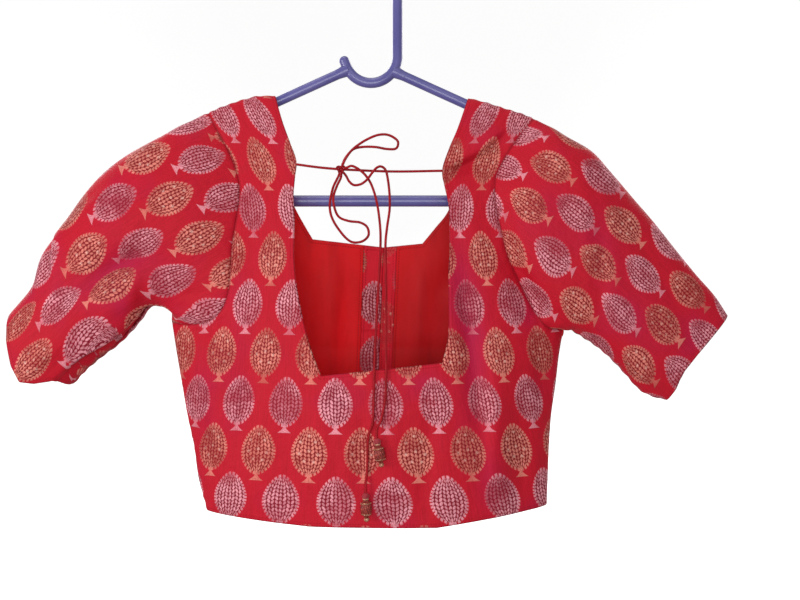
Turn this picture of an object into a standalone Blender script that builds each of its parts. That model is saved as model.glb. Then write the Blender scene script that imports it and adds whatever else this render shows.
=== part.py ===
"""A choli blouse hanging on a tubular clothes hanger.

The blouse is seen from its back: a deep square back neck with a tied cord across it, a higher front
neck behind it, a hooked front opening with a facing strip on each edge, and elbow-length set-in sleeves
that the hanger's arms hold out. The origin is the point inside the hanger's hook that rests on a rail.
X runs across the blouse, -Y is the side of the back panel, +Z is up.

All sizes below are in millimetres. The cloth is laid out as one smooth mid-surface, whose patches share
their seam points; each piece then becomes a wall about those points and stops just short of each seam.
"""

import math

import bmesh
import bpy
import numpy as np

MM = 0.001

# ---------------------------------------------------------------- sizes of the cloth and its seams
CLOTH = 1.4  # brocade and its backing
LINING = 1.0
SEAM_GAP = 0.3  # between pieces that are sewn together or lie on each other
SLEEVE_BACK_OFF = 0.5  # how far a sleeve stops short of the armhole's line
PLACKET_LIFT = CLOTH / 2 + SEAM_GAP + CLOTH / 2
LINING_LIFT = CLOTH / 2 + SEAM_GAP + LINING / 2
LAP = 16.0  # how far one front edge lies over the other
LAP_STEP = (CLOTH + SEAM_GAP) / 2 + 0.1  # how far each front gives way there
EYE_STRIP = 18.0  # width of the strip inside the left front's edge
HOOK_STRIP = 13.0  # what shows of the right front's strip

# ---------------------------------------------------------------- sizes of the hanger
ARM_SLOPE = math.radians(24.4)
APEX_X = -1.8  # where the two arms' axes would meet
APEX_Z = -87.6
BAR_Z = -214.7
HALF_SPAN = 200.0  # from the middle to the axis of the arm's end
ARM_RADIUS = 4.4
STEM_RADIUS = 4.6
BAR_RADIUS = 5.1
HOOK_RADIUS = 23.9  # of the hook's axis, and of the accessory notch below it
NOTCH_Z = -84.2  # centre of the notch
HOOK_OPENING = math.radians(205)  # how far round the hook runs before its free tip

# ---------------------------------------------------------------- sizes of the cord
CORD_RADIUS = 1.1
TASSEL_RADIUS = 4.6
# The tassel's outline from the cord down: radius, and share of its length.
PROFILE_COLUMNS = ("radius", "share")
TASSEL_PROFILE = [
    (0, 0), (1.6, 0), (2.9, 0.06), (3.1, 0.16), (2.3, 0.25), (3.9, 0.34), (4.5, 0.52), (4.2, 0.72),
    (2.6, 0.83), (1.5, 0.86), (2.4, 0.92), (1.8, 0.98), (0, 1),
]
TIE_ROW_LEFT = 10.8  # where the cord is sewn in, in rows up the strap
TIE_ROW_RIGHT = 10.95
TIE_SAG = 1.2

# ---------------------------------------------------------------- the body of the blouse
# Each section of the body: its height, its two sides, and how far the back and the front stand
# out from the plane of the hanger. Above the armhole the sides are those of the sleeve heads.
SECTION_COLUMNS = ("z", "left", "right", "back", "front")
SECTIONS = [
    (-496, -148, 159, 43, 44),
    (-465, -156, 160, 45, 52),
    (-436, -160, 161, 46, 60),
    (-408, -166, 163, 46, 67),
    (-379, -171, 167, 45, 70),
    (-350, -176, 170, 43, 68),
    (-324, -180, 174, 40, 62),
    (-280, -187, 182, 35, 50),
    (-230, -196, 191, 28, 36),
    (-180, -202, 197, 20, 24),
    (-150, -204, 200, 14, 15),
    (-115, -204, 200, 9, 9),
]
BACK_FULLNESS = 2.2  # how long the section stays full before it turns in at the sides
FRONT_FULLNESS = 2.6
SIDE_ROUNDING = 0.72
SHOULDER_ROUNDING = 6.5  # radius of the fold over the hanger's arm
SHOULDER_SPREAD = 0.2  # how fast the two sides part below that fold
BLEND = 3.0

# The fold over the shoulders and sleeve heads: across and up.
RIDGE_COLUMNS = ("x", "z")
RIDGE = [
    (-330, -318), (-297, -262), (-257, -211), (-217, -173.5), (-187, -157), (-163, -144),
    (-147, -135.5), (-136, -130.5), (-119, -124.5), (-103, -120.2), (-86.5, -119.9),
    (0, -90),
    (88, -122.1), (104, -126), (121, -131.5), (136, -136), (147, -140.5),
    (159, -148), (176, -157.5), (198, -170.5), (215, -189), (234, -211), (274, -258), (325, -318),
]

# The two side seams from the hem to the armpit.
SIDE_COLUMNS = ("left_x", "left_z", "right_x", "right_z")
SIDES = [
    (-148, -493, 159, -488), (-156, -465, 160, -462), (-160, -436, 161, -436), (-166, -408, 163, -408),
    (-171, -379, 167, -380), (-176, -350, 170, -354), (-180, -324, 174, -330),
]

# The back panel below its neck: its left edge, left neck line, right neck line and right edge are
# at these rows; the neck lines run on down to the hem. Heights of the two inner lines.
BACK_LOW_COLUMNS = ("left_neck_x", "left_neck_z", "right_neck_x", "right_neck_z")
BACK_LOW = [
    (-52, -500, 58, -501), (-49, -467, 60, -467), (-46, -434, 61, -431), (-44, -403, 62, -398),
    (-42, -370, 63, -359),
]
# The back's two shoulder straps from the corners of the neck up to the shoulder: the outer edge is
# the side seam and then the armhole, the inner edge is the neck.
STRAP_COLUMNS = ("outer_x", "outer_z", "inner_x", "inner_z")
BACK_ARMPIT_ROW = 2
BACK_STRAP_LEFT = [
    (-171, -379, -42, -370), (-176, -350, -50, -350), (-180, -324, -57, -327),
    (-162, -326, -61, -309), (-145, -323, -64, -294), (-132, -314, -66, -278),
    (-125, -297, -67, -262), (-123, -277, -67, -246), (-122, -257, -67, -230),
    (-119, -236, -68, -212), (-116, -215, -67, -196), (-117, -197, -66, -181),
    (-124, -177, -72, -164), (-134, -158, -79, -145), (-147, -135.5, -86.5, -119.9),
]
BACK_STRAP_RIGHT = [
    (167, -380, 63, -359), (170, -354, 67, -343), (174, -330, 69, -325),
    (157, -327, 69, -309), (142, -317, 69, -294), (130, -302, 69, -278),
    (121, -284, 70, -262), (117, -265, 70, -247), (114, -245, 70, -232),
    (112, -226, 69, -218), (110, -208, 66, -204), (112, -192, 64, -189),
    (122, -173, 70, -170), (134, -156, 78, -151), (147, -140.5, 88, -122.1),
]

# The fronts: the outer edge is the side seam and then the armhole; the middle column runs from the
# hem to the corner of the neck. Above the neck's bottom the inner edge is the neck.
FRONT_LOW_COLUMNS = ("outer_x", "outer_z", "middle_x", "middle_z", "opening_z")
FRONT_ARMPIT_ROW = 6
FRONT_LOW_LEFT = [
    (-148, -493, -52, -495, -495), (-156, -465, -52, -464, -464), (-160, -436, -52, -433, -433),
    (-166, -408, -52, -402, -402), (-171, -379, -52, -371, -371), (-176, -350, -52, -342, -342),
    (-180, -324, -52, -317, -317), (-166, -326, -52, -299, -300), (-152, -318, -52, -285, -287),
    (-140, -304, -52, -271, -275), (-132, -285, -52, -258, -264), (-128, -264, -52, -246, -254),
]
FRONT_LOW_RIGHT = [
    (159, -488, 55, -495, -495), (160, -462, 55, -464, -464), (161, -436, 55, -433, -433),
    (163, -408, 55, -402, -402), (167, -380, 55, -371, -371), (170, -354, 55, -342, -342),
    (174, -330, 55, -317, -317), (161, -329, 55, -299, -300), (147, -320, 55, -285, -286),
    (136, -305, 55, -273, -275), (128, -286, 55, -260, -264), (125, -265, 55, -248, -254),
]
FRONT_STRAP_LEFT = [
    (-128, -264, -52, -246), (-127, -243, -62, -239), (-127, -224, -70, -228), (-128, -206, -76, -213),
    (-130, -188, -81, -195), (-134, -170, -84, -172), (-139, -153, -86, -147), (-147, -135.5, -86.5, -119.9),
]
FRONT_STRAP_RIGHT = [
    (125, -265, 55, -248), (124, -244, 63, -240), (124, -225, 70, -225), (125, -207, 76, -211),
    (128, -189, 81, -194), (133, -171, 85, -172), (139, -156, 87, -148), (147, -140.5, 88, -122.1),
]
# Where the left front's free edge runs: across and up. The right front's lies LAP further left.
OPENING = [(1.0, -496), (5.0, -377), (10.5, -250)]

# ---------------------------------------------------------------- the sleeves
# Each ring: top point, bottom point, how far it stands out on the back's and the front's side, and
# how far its back side runs on towards the cuff.
RING_COLUMNS = ("top_x", "top_z", "low_x", "low_z", "back", "front", "sweep")
SLEEVE_LEFT = [
    (-163, -144, -192, -309, 35, 33, 0), (-187, -157, -199, -310, 38, 35, 0),
    (-217, -173.5, -208, -321, 39, 36, 0), (-239, -190, -217, -332, 38, 35, 1),
    (-258, -211.5, -229, -344, 37, 33, 3), (-276, -238, -241, -353, 35, 31, 7),
    (-293, -262, -251, -361, 33, 29, 12), (-301, -289, -260, -369, 31, 27, 18),
    (-322, -315, -270, -380, 30, 26, 26),
]
SLEEVE_RIGHT = [
    (159, -148, 180, -331, 34, 33, 0), (176, -157.5, 186, -334, 35, 34, 0),
    (198, -170.5, 194, -339, 34, 34, 0), (215, -189, 203, -345, 32, 32, 0),
    (234, -211, 213, -353, 29, 30, -1), (254, -234, 223, -363, 26, 28, -1),
    (274, -259, 233, -374, 23, 26, -2), (293, -282, 243, -385, 20, 24, -3),
    (309, -300, 254, -391, 17, 22, -4), (321, -318, 266, -394, 15, 20, -5),
]
# How that run-on is shared out from the top of the ring (0) to its low point (1).
SWEEP_SHAPE = [(0, 0), (0.12, 0.25), (0.25, 0.5), (0.5, 0.88), (0.68, 1), (0.78, 0.7), (0.87, 0.2), (1, 0)]
RING_SQUARENESS = 0.86  # under 1 a ring is fuller than an ellipse

# ---------------------------------------------------------------- the largest folds
# Soft ridges (+) and troughs (-) of the cloth, from one point to another as seen from the front.
FOLD_COLUMNS = ("from_x", "from_z", "to_x", "to_z", "width", "height")
BACK_FOLDS = [
    (80, -285, 99, -425, 11, -5.0), (99, -330, 118, -440, 10, 2.5), (-106, -340, -112, -440, 12, -3.0),
    (66, -184, 127, -166, 8, 3.5), (70, -200, 112, -184, 8, -3.0), (118, -430, 150, -480, 11, -3.0),
    (-75, -175, -112, -196, 9, -2.0), (-30, -385, 20, -488, 16, 1.5), (-140, -340, -128, -400, 10, 2.0),
]
FRONT_FOLDS = [
    (-70, -494, -76, -395, 9, -4.0), (74, -494, 78, -395, 9, -4.0), (-172, -345, -95, -385, 9, -3.0),
    (168, -352, 96, -386, 9, -3.0), (-110, -240, -60, -300, 12, 2.5), (112, -240, 62, -300, 12, 2.5),
]
# On a sleeve: from and to as rings from the shoulder and a share of the way round from the top
# over the back's side.
SLEEVE_FOLDS_LEFT = [
    (1.0, 0.40, 5.5, 0.30, 0.05, -4.5), (1.0, 0.33, 4.5, 0.22, 0.04, 3.0), (4.5, 0.26, 8.0, 0.24, 0.04, 3.0),
    (5.0, 0.14, 8.0, 0.10, 0.04, -3.5), (0.6, 0.46, 3.0, 0.42, 0.03, -3.0), (2.0, 0.75, 7.0, 0.70, 0.05, -4.0),
    (0.6, 0.60, 3.0, 0.64, 0.04, 3.0),
]
SLEEVE_FOLDS_RIGHT = [
    (1.0, 0.36, 5.0, 0.30, 0.05, -3.5), (0.8, 0.44, 3.6, 0.42, 0.035, 3.5), (4.0, 0.14, 8.0, 0.20, 0.04, -2.5),
    (6.0, 0.40, 9.0, 0.38, 0.04, 3.0), (2.0, 0.74, 8.0, 0.70, 0.05, -3.5), (0.8, 0.62, 3.5, 0.60, 0.04, 3.0),
]

# ---------------------------------------------------------------- the cord's way
CORD_COLUMNS = ("x", "y", "z")
KNOT = (-26.0, -23.0, -189.0)
KNOT_RADII = (4.7, 4.0, 5.0)
BOW_UPPER = [
    (-23.8, -27, -184.8), (-21.1, -29, -179.8), (-15.8, -30, -172.9), (-7.9, -31, -166.9),
    (0.0, -31.5, -162.6), (7.0, -31.5, -160.0), (14.0, -31.5, -159.6), (20.1, -31.5, -161.8),
    (24.5, -31.5, -166.1), (22.7, -31, -171.7), (14.8, -30.5, -172.1), (4.3, -29.5, -170.2),
    (-7.1, -28, -170.0), (-15.1, -26, -171.9), (-21.3, -24, -178.2), (-24.0, -23.5, -183.4),
]
BOW_LOWER = [
    (-27.9, -24, -194.9), (-32.7, -26, -205.7), (-35.2, -28, -219.1), (-34.6, -29.5, -228.0),
    (-31.5, -31, -235.9), (-26.2, -32, -243.9), (-20.0, -33, -250.9), (-13.9, -33.5, -254.0),
    (-6.0, -34, -252.7), (-1.2, -34, -247.5), (-2.5, -34, -240.5), (-8.6, -34, -236.6),
    (-18.1, -34.5, -235.4), (-26.8, -34.5, -231.9), (-30.8, -34, -223.9), (-31.9, -32.5, -214.2),
    (-28.9, -30.5, -204.3), (-25.5, -28, -196.3),
]
TAIL_LONG_FREE = [
    (-20.2, -26, -187.6), (-15.9, -28, -186.6), (-9.7, -29, -189.8), (-3.5, -30, -195.6),
    (1.7, -31, -204.5), (6.1, -33, -219.5), (8.8, -36, -238.9), (9.3, -38, -256.4),
    (8.1, -40.1, -282.5), (6.0, -43.2, -321.3), (4.8, -45.2, -346.9),
]
TAIL_SHORT_FREE = [
    (-21.5, -24, -194.5), (-18.4, -27, -200.0), (-14.1, -29.5, -203.5), (-7.8, -32, -202.9),
    (-2.5, -34, -199.2), (1.8, -34.5, -193.6), (5.7, -34, -189.1), (9.6, -33, -187.7),
    (13.6, -32.5, -190.7), (15.7, -32.5, -199.4), (17.1, -33.5, -212.6), (17.1, -35, -225.8),
    (14.9, -37, -241.6), (13.6, -39, -256.5), (14.1, -40.8, -282.5), (14.2, -43.6, -321.3),
    (14.2, -45.4, -346.9),
]
# Where the tails lie on the back panel: across and up.
LYING_COLUMNS = ("x", "z")
TAIL_LONG_LYING = [(4.0, -365.6), (3.6, -389.6), (2.7, -409.2), (-0.3, -417.8), (-1.6, -428.0), (-2.0, -449.4)]
TAIL_SHORT_LYING = [(14.2, -365.6), (13.4, -389.6), (10.0, -406.7)]
TASSEL_ENDS = {"tassel_long": ((-3.4, -469.5), (-2.4, -494.0)), "tassel_short": ((6.3, -422.5), (10.6, -446.7))}
CORD_LIFT = CLOTH / 2 + CORD_RADIUS + 0.9
TASSEL_LIFT = CLOTH / 2 + TASSEL_RADIUS + 0.9

# ---------------------------------------------------------------- colours and surfaces
CRIMSON = (0.56, 0.013, 0.035)
RED_LINING = (0.40, 0.006, 0.014)
CORD_RED = (0.36, 0.006, 0.016)
VIOLET = (0.15, 0.11, 0.42)
ANTIQUE_GOLD = (0.30, 0.17, 0.07)

# ---------------------------------------------------------------- how finely the pieces are laid out
SIDE_CELLS = 5  # from the side seam or armhole to the line of the neck
BACK_NECK_CELLS = 6
FRONT_CELLS = 4  # from the line of the neck to the strip inside the opening
STRIP_CELLS = 2
CROWDING = 1.25  # draws the cells together towards the side
SHOULDER_STEPS = (0.55, 0.3, 0.13, 0.045, 0.0)  # the last rows of a strap, up to the fold
SLEEVE_STEPS = (0, 0.33, 0.67, 1, 1.6, 2.3, 3, 4, 5, 6, 7, 8)
ROW_STEP = 2 / 3
ARMPIT_DIP = 14.0  # how far the rows hang below the armpit, just inside it
DIP_ROWS = 1.4
DIP_SHARE = 0.2


def at(rows, t):
    """The smooth curve through a table's rows, t rows from its start."""
    rows = np.asarray(rows, float)
    i = int(min(max(math.floor(t), 0), len(rows) - 2))
    u = t - i
    a, b = rows[i], rows[i + 1]
    before = rows[i - 1] if i else 2 * a - b
    after = rows[i + 2] if i + 2 < len(rows) else 2 * b - a
    bend = before - 2.5 * a + 2 * b - 0.5 * after
    return a + 0.5 * u * (b - before) + u * u * bend + 0.5 * u**3 * (3 * (a - b) + after - before)


def read(table, value, key, column):
    """A column of a table, read where its key column has this value."""
    table = np.asarray(table, float)
    table = table[np.argsort(table[:, key])]
    return float(np.interp(value, table[:, key], table[:, column]))


def smooth_step(value, low, high):
    u = min(max((value - low) / (high - low), 0.0), 1.0)
    return u * u * (3 - 2 * u)


def fold_height(folds, x, z):
    """How far the folds lift the cloth at a point."""
    total = 0.0
    for from_x, from_z, to_x, to_z, width, height in folds:
        run = np.array([to_x - from_x, to_z - from_z], float)
        way = np.array([x - from_x, z - from_z], float)
        along = float(way @ run / (run @ run))
        aside = abs(run[0] * way[1] - run[1] * way[0]) / math.hypot(*run)
        if -0.25 < along < 1.25:
            fade = math.cos(math.pi / 1.5 * (along - 0.5)) ** 2
            total += height * fade * math.exp(-((aside / width) ** 2))
    return total


def body_y(x, z, side):
    """Depth of the body's mid-surface: side is -1 on the back and +1 on the fronts."""
    left, right, back, front = (read(SECTIONS, z, 0, k) for k in range(1, 5))
    across = min(abs(2 * (x - (left + right) / 2) / (right - left)), 1.0)
    if side < 0:
        deep = back * (1 - across**BACK_FULLNESS) ** SIDE_ROUNDING
        deep += fold_height(BACK_FOLDS, x, z) * min(1.0, deep / 15)
    else:
        deep = front * (1 - across**FRONT_FULLNESS) ** SIDE_ROUNDING
        deep += fold_height(FRONT_FOLDS, x, z) * min(1.0, deep / 15)
    if deep < 0.01:
        return 0.0
    drop = max(read(RIDGE, x, 0, 1) - z, 0.0)
    fold = math.sqrt(2 * SHOULDER_ROUNDING * drop) + SHOULDER_SPREAD * drop
    if fold < 0.01:
        return 0.0
    return side * (deep**-BLEND + fold**-BLEND) ** (-1 / BLEND)


def body_row(start, end, cells, side, crowd=1.0, dip=0.0, seam=False):
    """Points across the body from start to end, each given across and up. A seam's point has no depth."""
    row = []
    for share in (np.arange(cells + 1) / cells) ** crowd:
        bump = share / DIP_SHARE * math.exp(1 - share / DIP_SHARE) * (1 - share)
        x = start[0] + (end[0] - start[0]) * share
        z = start[1] + (end[1] - start[1]) * share - dip * bump
        row.append(np.array([x, body_y(x, z, side), z]))
    if seam:
        row[0][1] = 0.0
    return row


def lift_to_ridge(row, top_start, top_end, weight):
    """Bends a row near the top of a strap so that the strap ends along the fold over the shoulder."""
    for share, p in zip((np.arange(len(row)) / (len(row) - 1)) ** CROWDING, row):
        top_x = top_start[0] + (top_end[0] - top_start[0]) * share
        top_z = top_start[1] + (top_end[1] - top_start[1]) * share
        p[2] += (read(RIDGE, top_x, 0, 1) - top_z) * weight
    return row


def strap_row(table, t, outer, inner, side, dip, seam):
    """One row of a strap, from the side seam or armhole to the neck."""
    row = body_row(outer, inner, SIDE_CELLS, side, CROWDING, dip, seam)
    last = len(table) - 1
    if t > last - 1:
        lift_to_ridge(row, table[-1][:2], table[-1][2:], smooth_step(t, last - 1, last))
        for p in row:
            p[1] = body_y(p[0], p[2], side) if t < last else 0.0
    return row


def dip_at(t, armpit):
    return ARMPIT_DIP * math.exp(-(((t - armpit) / DIP_ROWS) ** 2))


def split_at(rows, t, armpit):
    """A table's row, smooth on each side of the armpit and sharp at it."""
    rows = np.asarray(rows, float)
    return at(rows[: armpit + 1], t) if t <= armpit else at(rows[armpit:], t - armpit)


def low_steps(first, last):
    """Even row positions from first up to, but not with, last."""
    return list(np.linspace(first, last, round((last - first) / ROW_STEP), endpoint=False))


def strap_steps(first, rows, low_step):
    """Row positions up a strap: even up to the last row but one, then crowded towards the fold."""
    return list(np.arange(first, rows - 1.99, low_step)) + [rows - 1 - left for left in SHOULDER_STEPS]


class Cloth:
    """One piece of cloth: the patches of its mid-surface, welded where they share points."""

    def __init__(self, name):
        self.name = name
        self.points = []
        self.faces = []
        self.index = {}

    def vertex(self, point):
        key = tuple(np.round(point, 3) + 0.0)
        if key not in self.index:
            self.index[key] = len(self.points)
            self.points.append(np.array(point, float))
        return self.index[key]

    def patch(self, rows, flip=False, closed=False):
        """Adds a grid of points. It faces the way of columns crossed with rows, or with flip the other way."""
        ids = [[self.vertex(p) for p in row] for row in rows]
        width = len(ids[0])
        for low, high in zip(ids, ids[1:]):
            for c in range(width if closed else width - 1):
                d = (c + 1) % width
                ring = [low[c], low[d], high[d], high[c]]
                ring = ring[::-1] if flip else ring
                corners = np.array([self.points[i] for i in ring])
                if np.linalg.norm(corners[0] - corners[2]) > np.linalg.norm(corners[1] - corners[3]):
                    ring = ring[1:] + ring[:1]
                self.faces += [[ring[0], ring[1], ring[2]], [ring[0], ring[2], ring[3]]]
        return self

    def normals(self):
        """Sum of the face normals at each point."""
        points = np.array(self.points)
        total = np.zeros_like(points)
        for face in self.faces:
            a, b, c = points[face]
            for i in face:
                total[i] += np.cross(b - a, c - a)
        return total

    def edges(self, normals):
        """The way into the piece at each point of its edge, and the edges in their faces' order."""
        points = np.array(self.points)
        seen = {}
        for face in self.faces:
            for i, j in zip(face, face[1:] + face[:1]):
                seen.setdefault(frozenset((i, j)), []).append((i, j))
        rim = [uses[0] for uses in seen.values() if len(uses) == 1]
        into = np.zeros_like(points)
        for i, j in rim:
            way = np.cross(normals[i] + normals[j], points[j] - points[i])
            way /= max(np.linalg.norm(way), 1e-9)
            into[i] += way
            into[j] += way
        size = np.linalg.norm(into, axis=1)
        into[size > 1e-6] /= size[size > 1e-6, None]
        return into, rim


def shared_normals(pieces):
    """The outward direction at each seam point, the same for all pieces that meet there."""
    total = {}
    for piece in pieces:
        for key, normal in zip(piece.index, piece.normals()):
            total[key] = total.get(key, 0) + normal
    return {key: normal / np.linalg.norm(normal) for key, normal in total.items()}


def add_wall(piece, normals, thickness, look, lift=0.0, back_off=SEAM_GAP / 2):
    """The closed wall about a piece's mid-surface, lifted off it and drawn back from its edges."""
    out = np.array([normals[key] for key in piece.index])
    into, rim = piece.edges(out)
    middle = np.array(piece.points) + out * lift + into * back_off
    points = np.concatenate([middle + out * thickness / 2, middle - out * thickness / 2])
    count = len(middle)
    faces = [list(f) for f in piece.faces]
    faces += [[i + count for i in reversed(f)] for f in piece.faces]
    faces += [[j, i, i + count, j + count] for i, j in rim]
    mesh = bpy.data.meshes.new(piece.name)
    mesh.from_pydata([tuple(p * MM) for p in points], [], faces)
    return finish(bpy.data.objects.new(piece.name, mesh), look)


def finish(obj, look):
    """Gives an object its own material and puts it in the blouse's collection."""
    colour, roughness, metallic, collection = look
    material = bpy.data.materials.new(obj.name)
    material.use_nodes = True
    shader = material.node_tree.nodes["Principled BSDF"]
    shader.inputs["Base Color"].default_value = (*colour, 1)
    shader.inputs["Roughness"].default_value = roughness
    shader.inputs["Metallic"].default_value = metallic
    obj.data.materials.append(material)
    if obj.type == "MESH":
        obj.data.shade_smooth()
        obj.data.set_sharp_from_angle(angle=math.radians(50))
    collection.objects.link(obj)
    return obj


# ---------------------------------------------------------------- the pieces of the body


def back_panel():
    """The back: full width below the neck, and a strap each side of it."""
    armpit = BACK_ARMPIT_ROW
    below = len(BACK_LOW) - 1
    piece = Cloth("back_panel")
    rows = []
    for t in low_steps(0, below) + [below]:
        side = at(SIDES, t)
        neck = at(BACK_LOW, t)
        dip = dip_at(t, below + armpit)
        left = body_row(side[:2], neck[:2], SIDE_CELLS, -1, CROWDING, dip, seam=True)
        middle = body_row(neck[:2], neck[2:], BACK_NECK_CELLS, -1)
        right = body_row(side[2:], neck[2:], SIDE_CELLS, -1, CROWDING, dip, seam=True)
        rows.append(left + middle[1:-1] + right[::-1])
    piece.patch(rows)
    armholes = []
    for table, columns, flip in ((BACK_STRAP_LEFT, slice(0, 2), False), (BACK_STRAP_RIGHT, slice(2, 4), True)):
        steps = low_steps(0, armpit) + strap_steps(armpit, len(table), 1)
        rows = []
        for t in steps:
            inner = at(np.asarray(table, float)[:, 2:], t)
            outer = at(SIDES, below + t)[columns] if t <= armpit else split_at(table, t, armpit)[:2]
            dip = dip_at(t, armpit)
            rows.append(strap_row(table, t, outer, inner, -1, dip, t <= armpit))
        piece.patch(rows, flip=flip)
        armholes.append([row[0] for t, row in zip(steps, rows) if t >= armpit])
    return piece, armholes


def opening_x(z):
    """Where the left front's free edge runs at this height."""
    return read(OPENING, z, 1, 0)


def front(side_name, low, strap, columns, hand):
    """One front, its lining and the strip inside its edge. hand is +1 on the left front and -1 on the right."""
    armpit = FRONT_ARMPIT_ROW
    steps = low_steps(0, 4) + low_steps(4, armpit) + list(range(armpit, len(low)))
    rows = []
    for t in steps:
        row = at(low, t)
        outer = at(SIDES, t)[columns] if t <= armpit else split_at(low, t, armpit)[:2]
        edge = opening_x(row[4])
        strip = edge - EYE_STRIP if hand > 0 else edge + HOOK_STRIP
        free = edge if hand > 0 else edge - LAP
        neck_z = read([(row[2], row[3]), (edge, row[4])], strip, 0, 1)
        points = body_row(outer, row[2:4], SIDE_CELLS, 1, CROWDING, dip_at(t, armpit), seam=t <= armpit)
        points += body_row(row[2:4], (strip, neck_z), FRONT_CELLS, 1)[1:]
        points += body_row((strip, neck_z), (edge, row[4]), STRIP_CELLS, 1)[1:]
        if hand < 0:
            points += body_row((edge, row[4]), (free, row[4]), STRIP_CELLS, 1)[1:]
        for p in points:
            near = smooth_step(hand * (p[0] - edge), -LAP - 24, -LAP - 4)
            if hand < 0:
                near = smooth_step(edge - p[0], -24, -4)
            p[1] -= hand * LAP_STEP * near
        rows.append(points)
    flip = hand > 0
    strip_start = SIDE_CELLS + FRONT_CELLS
    whole = Cloth("front_" + side_name).patch(rows, flip)
    lining = Cloth("lining_" + side_name).patch([row[: strip_start + 1] for row in rows], flip)
    strip_rows = [row[strip_start : strip_start + STRIP_CELLS + 1] for row in rows]
    strip = Cloth("eye_strip" if hand > 0 else "hook_strip").patch(strip_rows, flip)
    strap_rows = []
    for t in strap_steps(0, len(strap), 1):
        row = at(strap, t)
        strap_rows.append(strap_row(strap, t, row[:2], row[2:], 1, dip_at(t, armpit - len(low) + 1), False))
    whole.patch(strap_rows, flip)
    lining.patch(strap_rows[: 1 - len(SHOULDER_STEPS)], flip)
    armhole = [row[0] for t, row in zip(steps, rows) if t >= armpit] + [row[0] for row in strap_rows[1:]]
    return whole, lining, strip, armhole


def arc_shares(points):
    """How far along a run of points each one lies, from 0 to 1."""
    points = np.asarray(points)
    length = np.concatenate([[0], np.cumsum(np.linalg.norm(np.diff(points, axis=0), axis=1))])
    return length / length[-1]


def power(value, exponent):
    return math.copysign(abs(value) ** exponent, value)


def sleeve(name, table, folds, back_armhole, front_armhole, flip):
    """A tube from the armhole to the cuff. Each armhole runs from the armpit to the shoulder."""
    head = back_armhole[::-1] + front_armhole[1:-1]
    turns = list(0.5 * arc_shares(back_armhole[::-1])) + list(0.5 + 0.5 * arc_shares(front_armhole)[1:-1])
    rings = [np.array(head)]
    for top_x, top_z, low_x, low_z, back, fore, sweep in table:
        hand = math.copysign(1, top_x)
        run = np.array([top_z - low_z, low_x - top_x]) * hand
        run /= np.linalg.norm(run)
        ring = []
        for turn in turns:
            along = power(math.cos(2 * math.pi * turn), RING_SQUARENESS)
            out = power(math.sin(2 * math.pi * turn), RING_SQUARENESS)
            x = (top_x + low_x) / 2 + along * (top_x - low_x) / 2
            z = (top_z + low_z) / 2 + along * (top_z - low_z) / 2
            if out > 0:
                x += run[0] * sweep * read(SWEEP_SHAPE, (1 - along) / 2, 0, 1)
                z += run[1] * sweep * read(SWEEP_SHAPE, (1 - along) / 2, 0, 1)
            ring.append((x, -out * (back if out > 0 else fore), z))
        rings.append(np.array(ring))
    rows = []
    for t in SLEEVE_STEPS + tuple(range(9, len(table) + 1)):
        ring = at(np.array(rings), t)
        centre = ring.mean(axis=0)
        row = []
        for turn, point in zip(turns, ring):
            lift = 0.0
            for from_t, from_turn, to_t, to_turn, width, height in folds:
                along = (t - from_t) / (to_t - from_t)
                if -0.25 < along < 1.25:
                    aside = (turn - from_turn - (to_turn - from_turn) * along) / width
                    lift += height * math.cos(math.pi / 1.5 * (along - 0.5)) ** 2 * math.exp(-aside * aside)
            out = point - centre
            row.append(point + lift * out / np.linalg.norm(out))
        rows.append(row)
    return Cloth(name).patch(rows, flip, closed=True)


# ---------------------------------------------------------------- tubes, cords and tassels


def tube(name, points, radius, look, sides=4, radii=None):
    """A round tube along the points, with flat closed ends."""
    curve = bpy.data.curves.new(name, "CURVE")
    curve.dimensions = "3D"
    curve.bevel_depth = radius * MM
    curve.bevel_resolution = sides
    curve.use_fill_caps = True
    spline = curve.splines.new("POLY")
    spline.points.add(len(points) - 1)
    for i, point in enumerate(points):
        spline.points[i].co = (*(np.asarray(point) * MM), 1)
        spline.points[i].radius = radii[i] / radius if radii else 1
    return finish(bpy.data.objects.new(name, curve), look)


def arc(centre_x, centre_z, radius, start, end, count):
    """Points of an arc in the hanger's plane. Angles are from +X towards +Z."""
    angles = np.linspace(start, end, count)
    return [(centre_x + radius * math.cos(a), 0, centre_z + radius * math.sin(a)) for a in angles]


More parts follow.
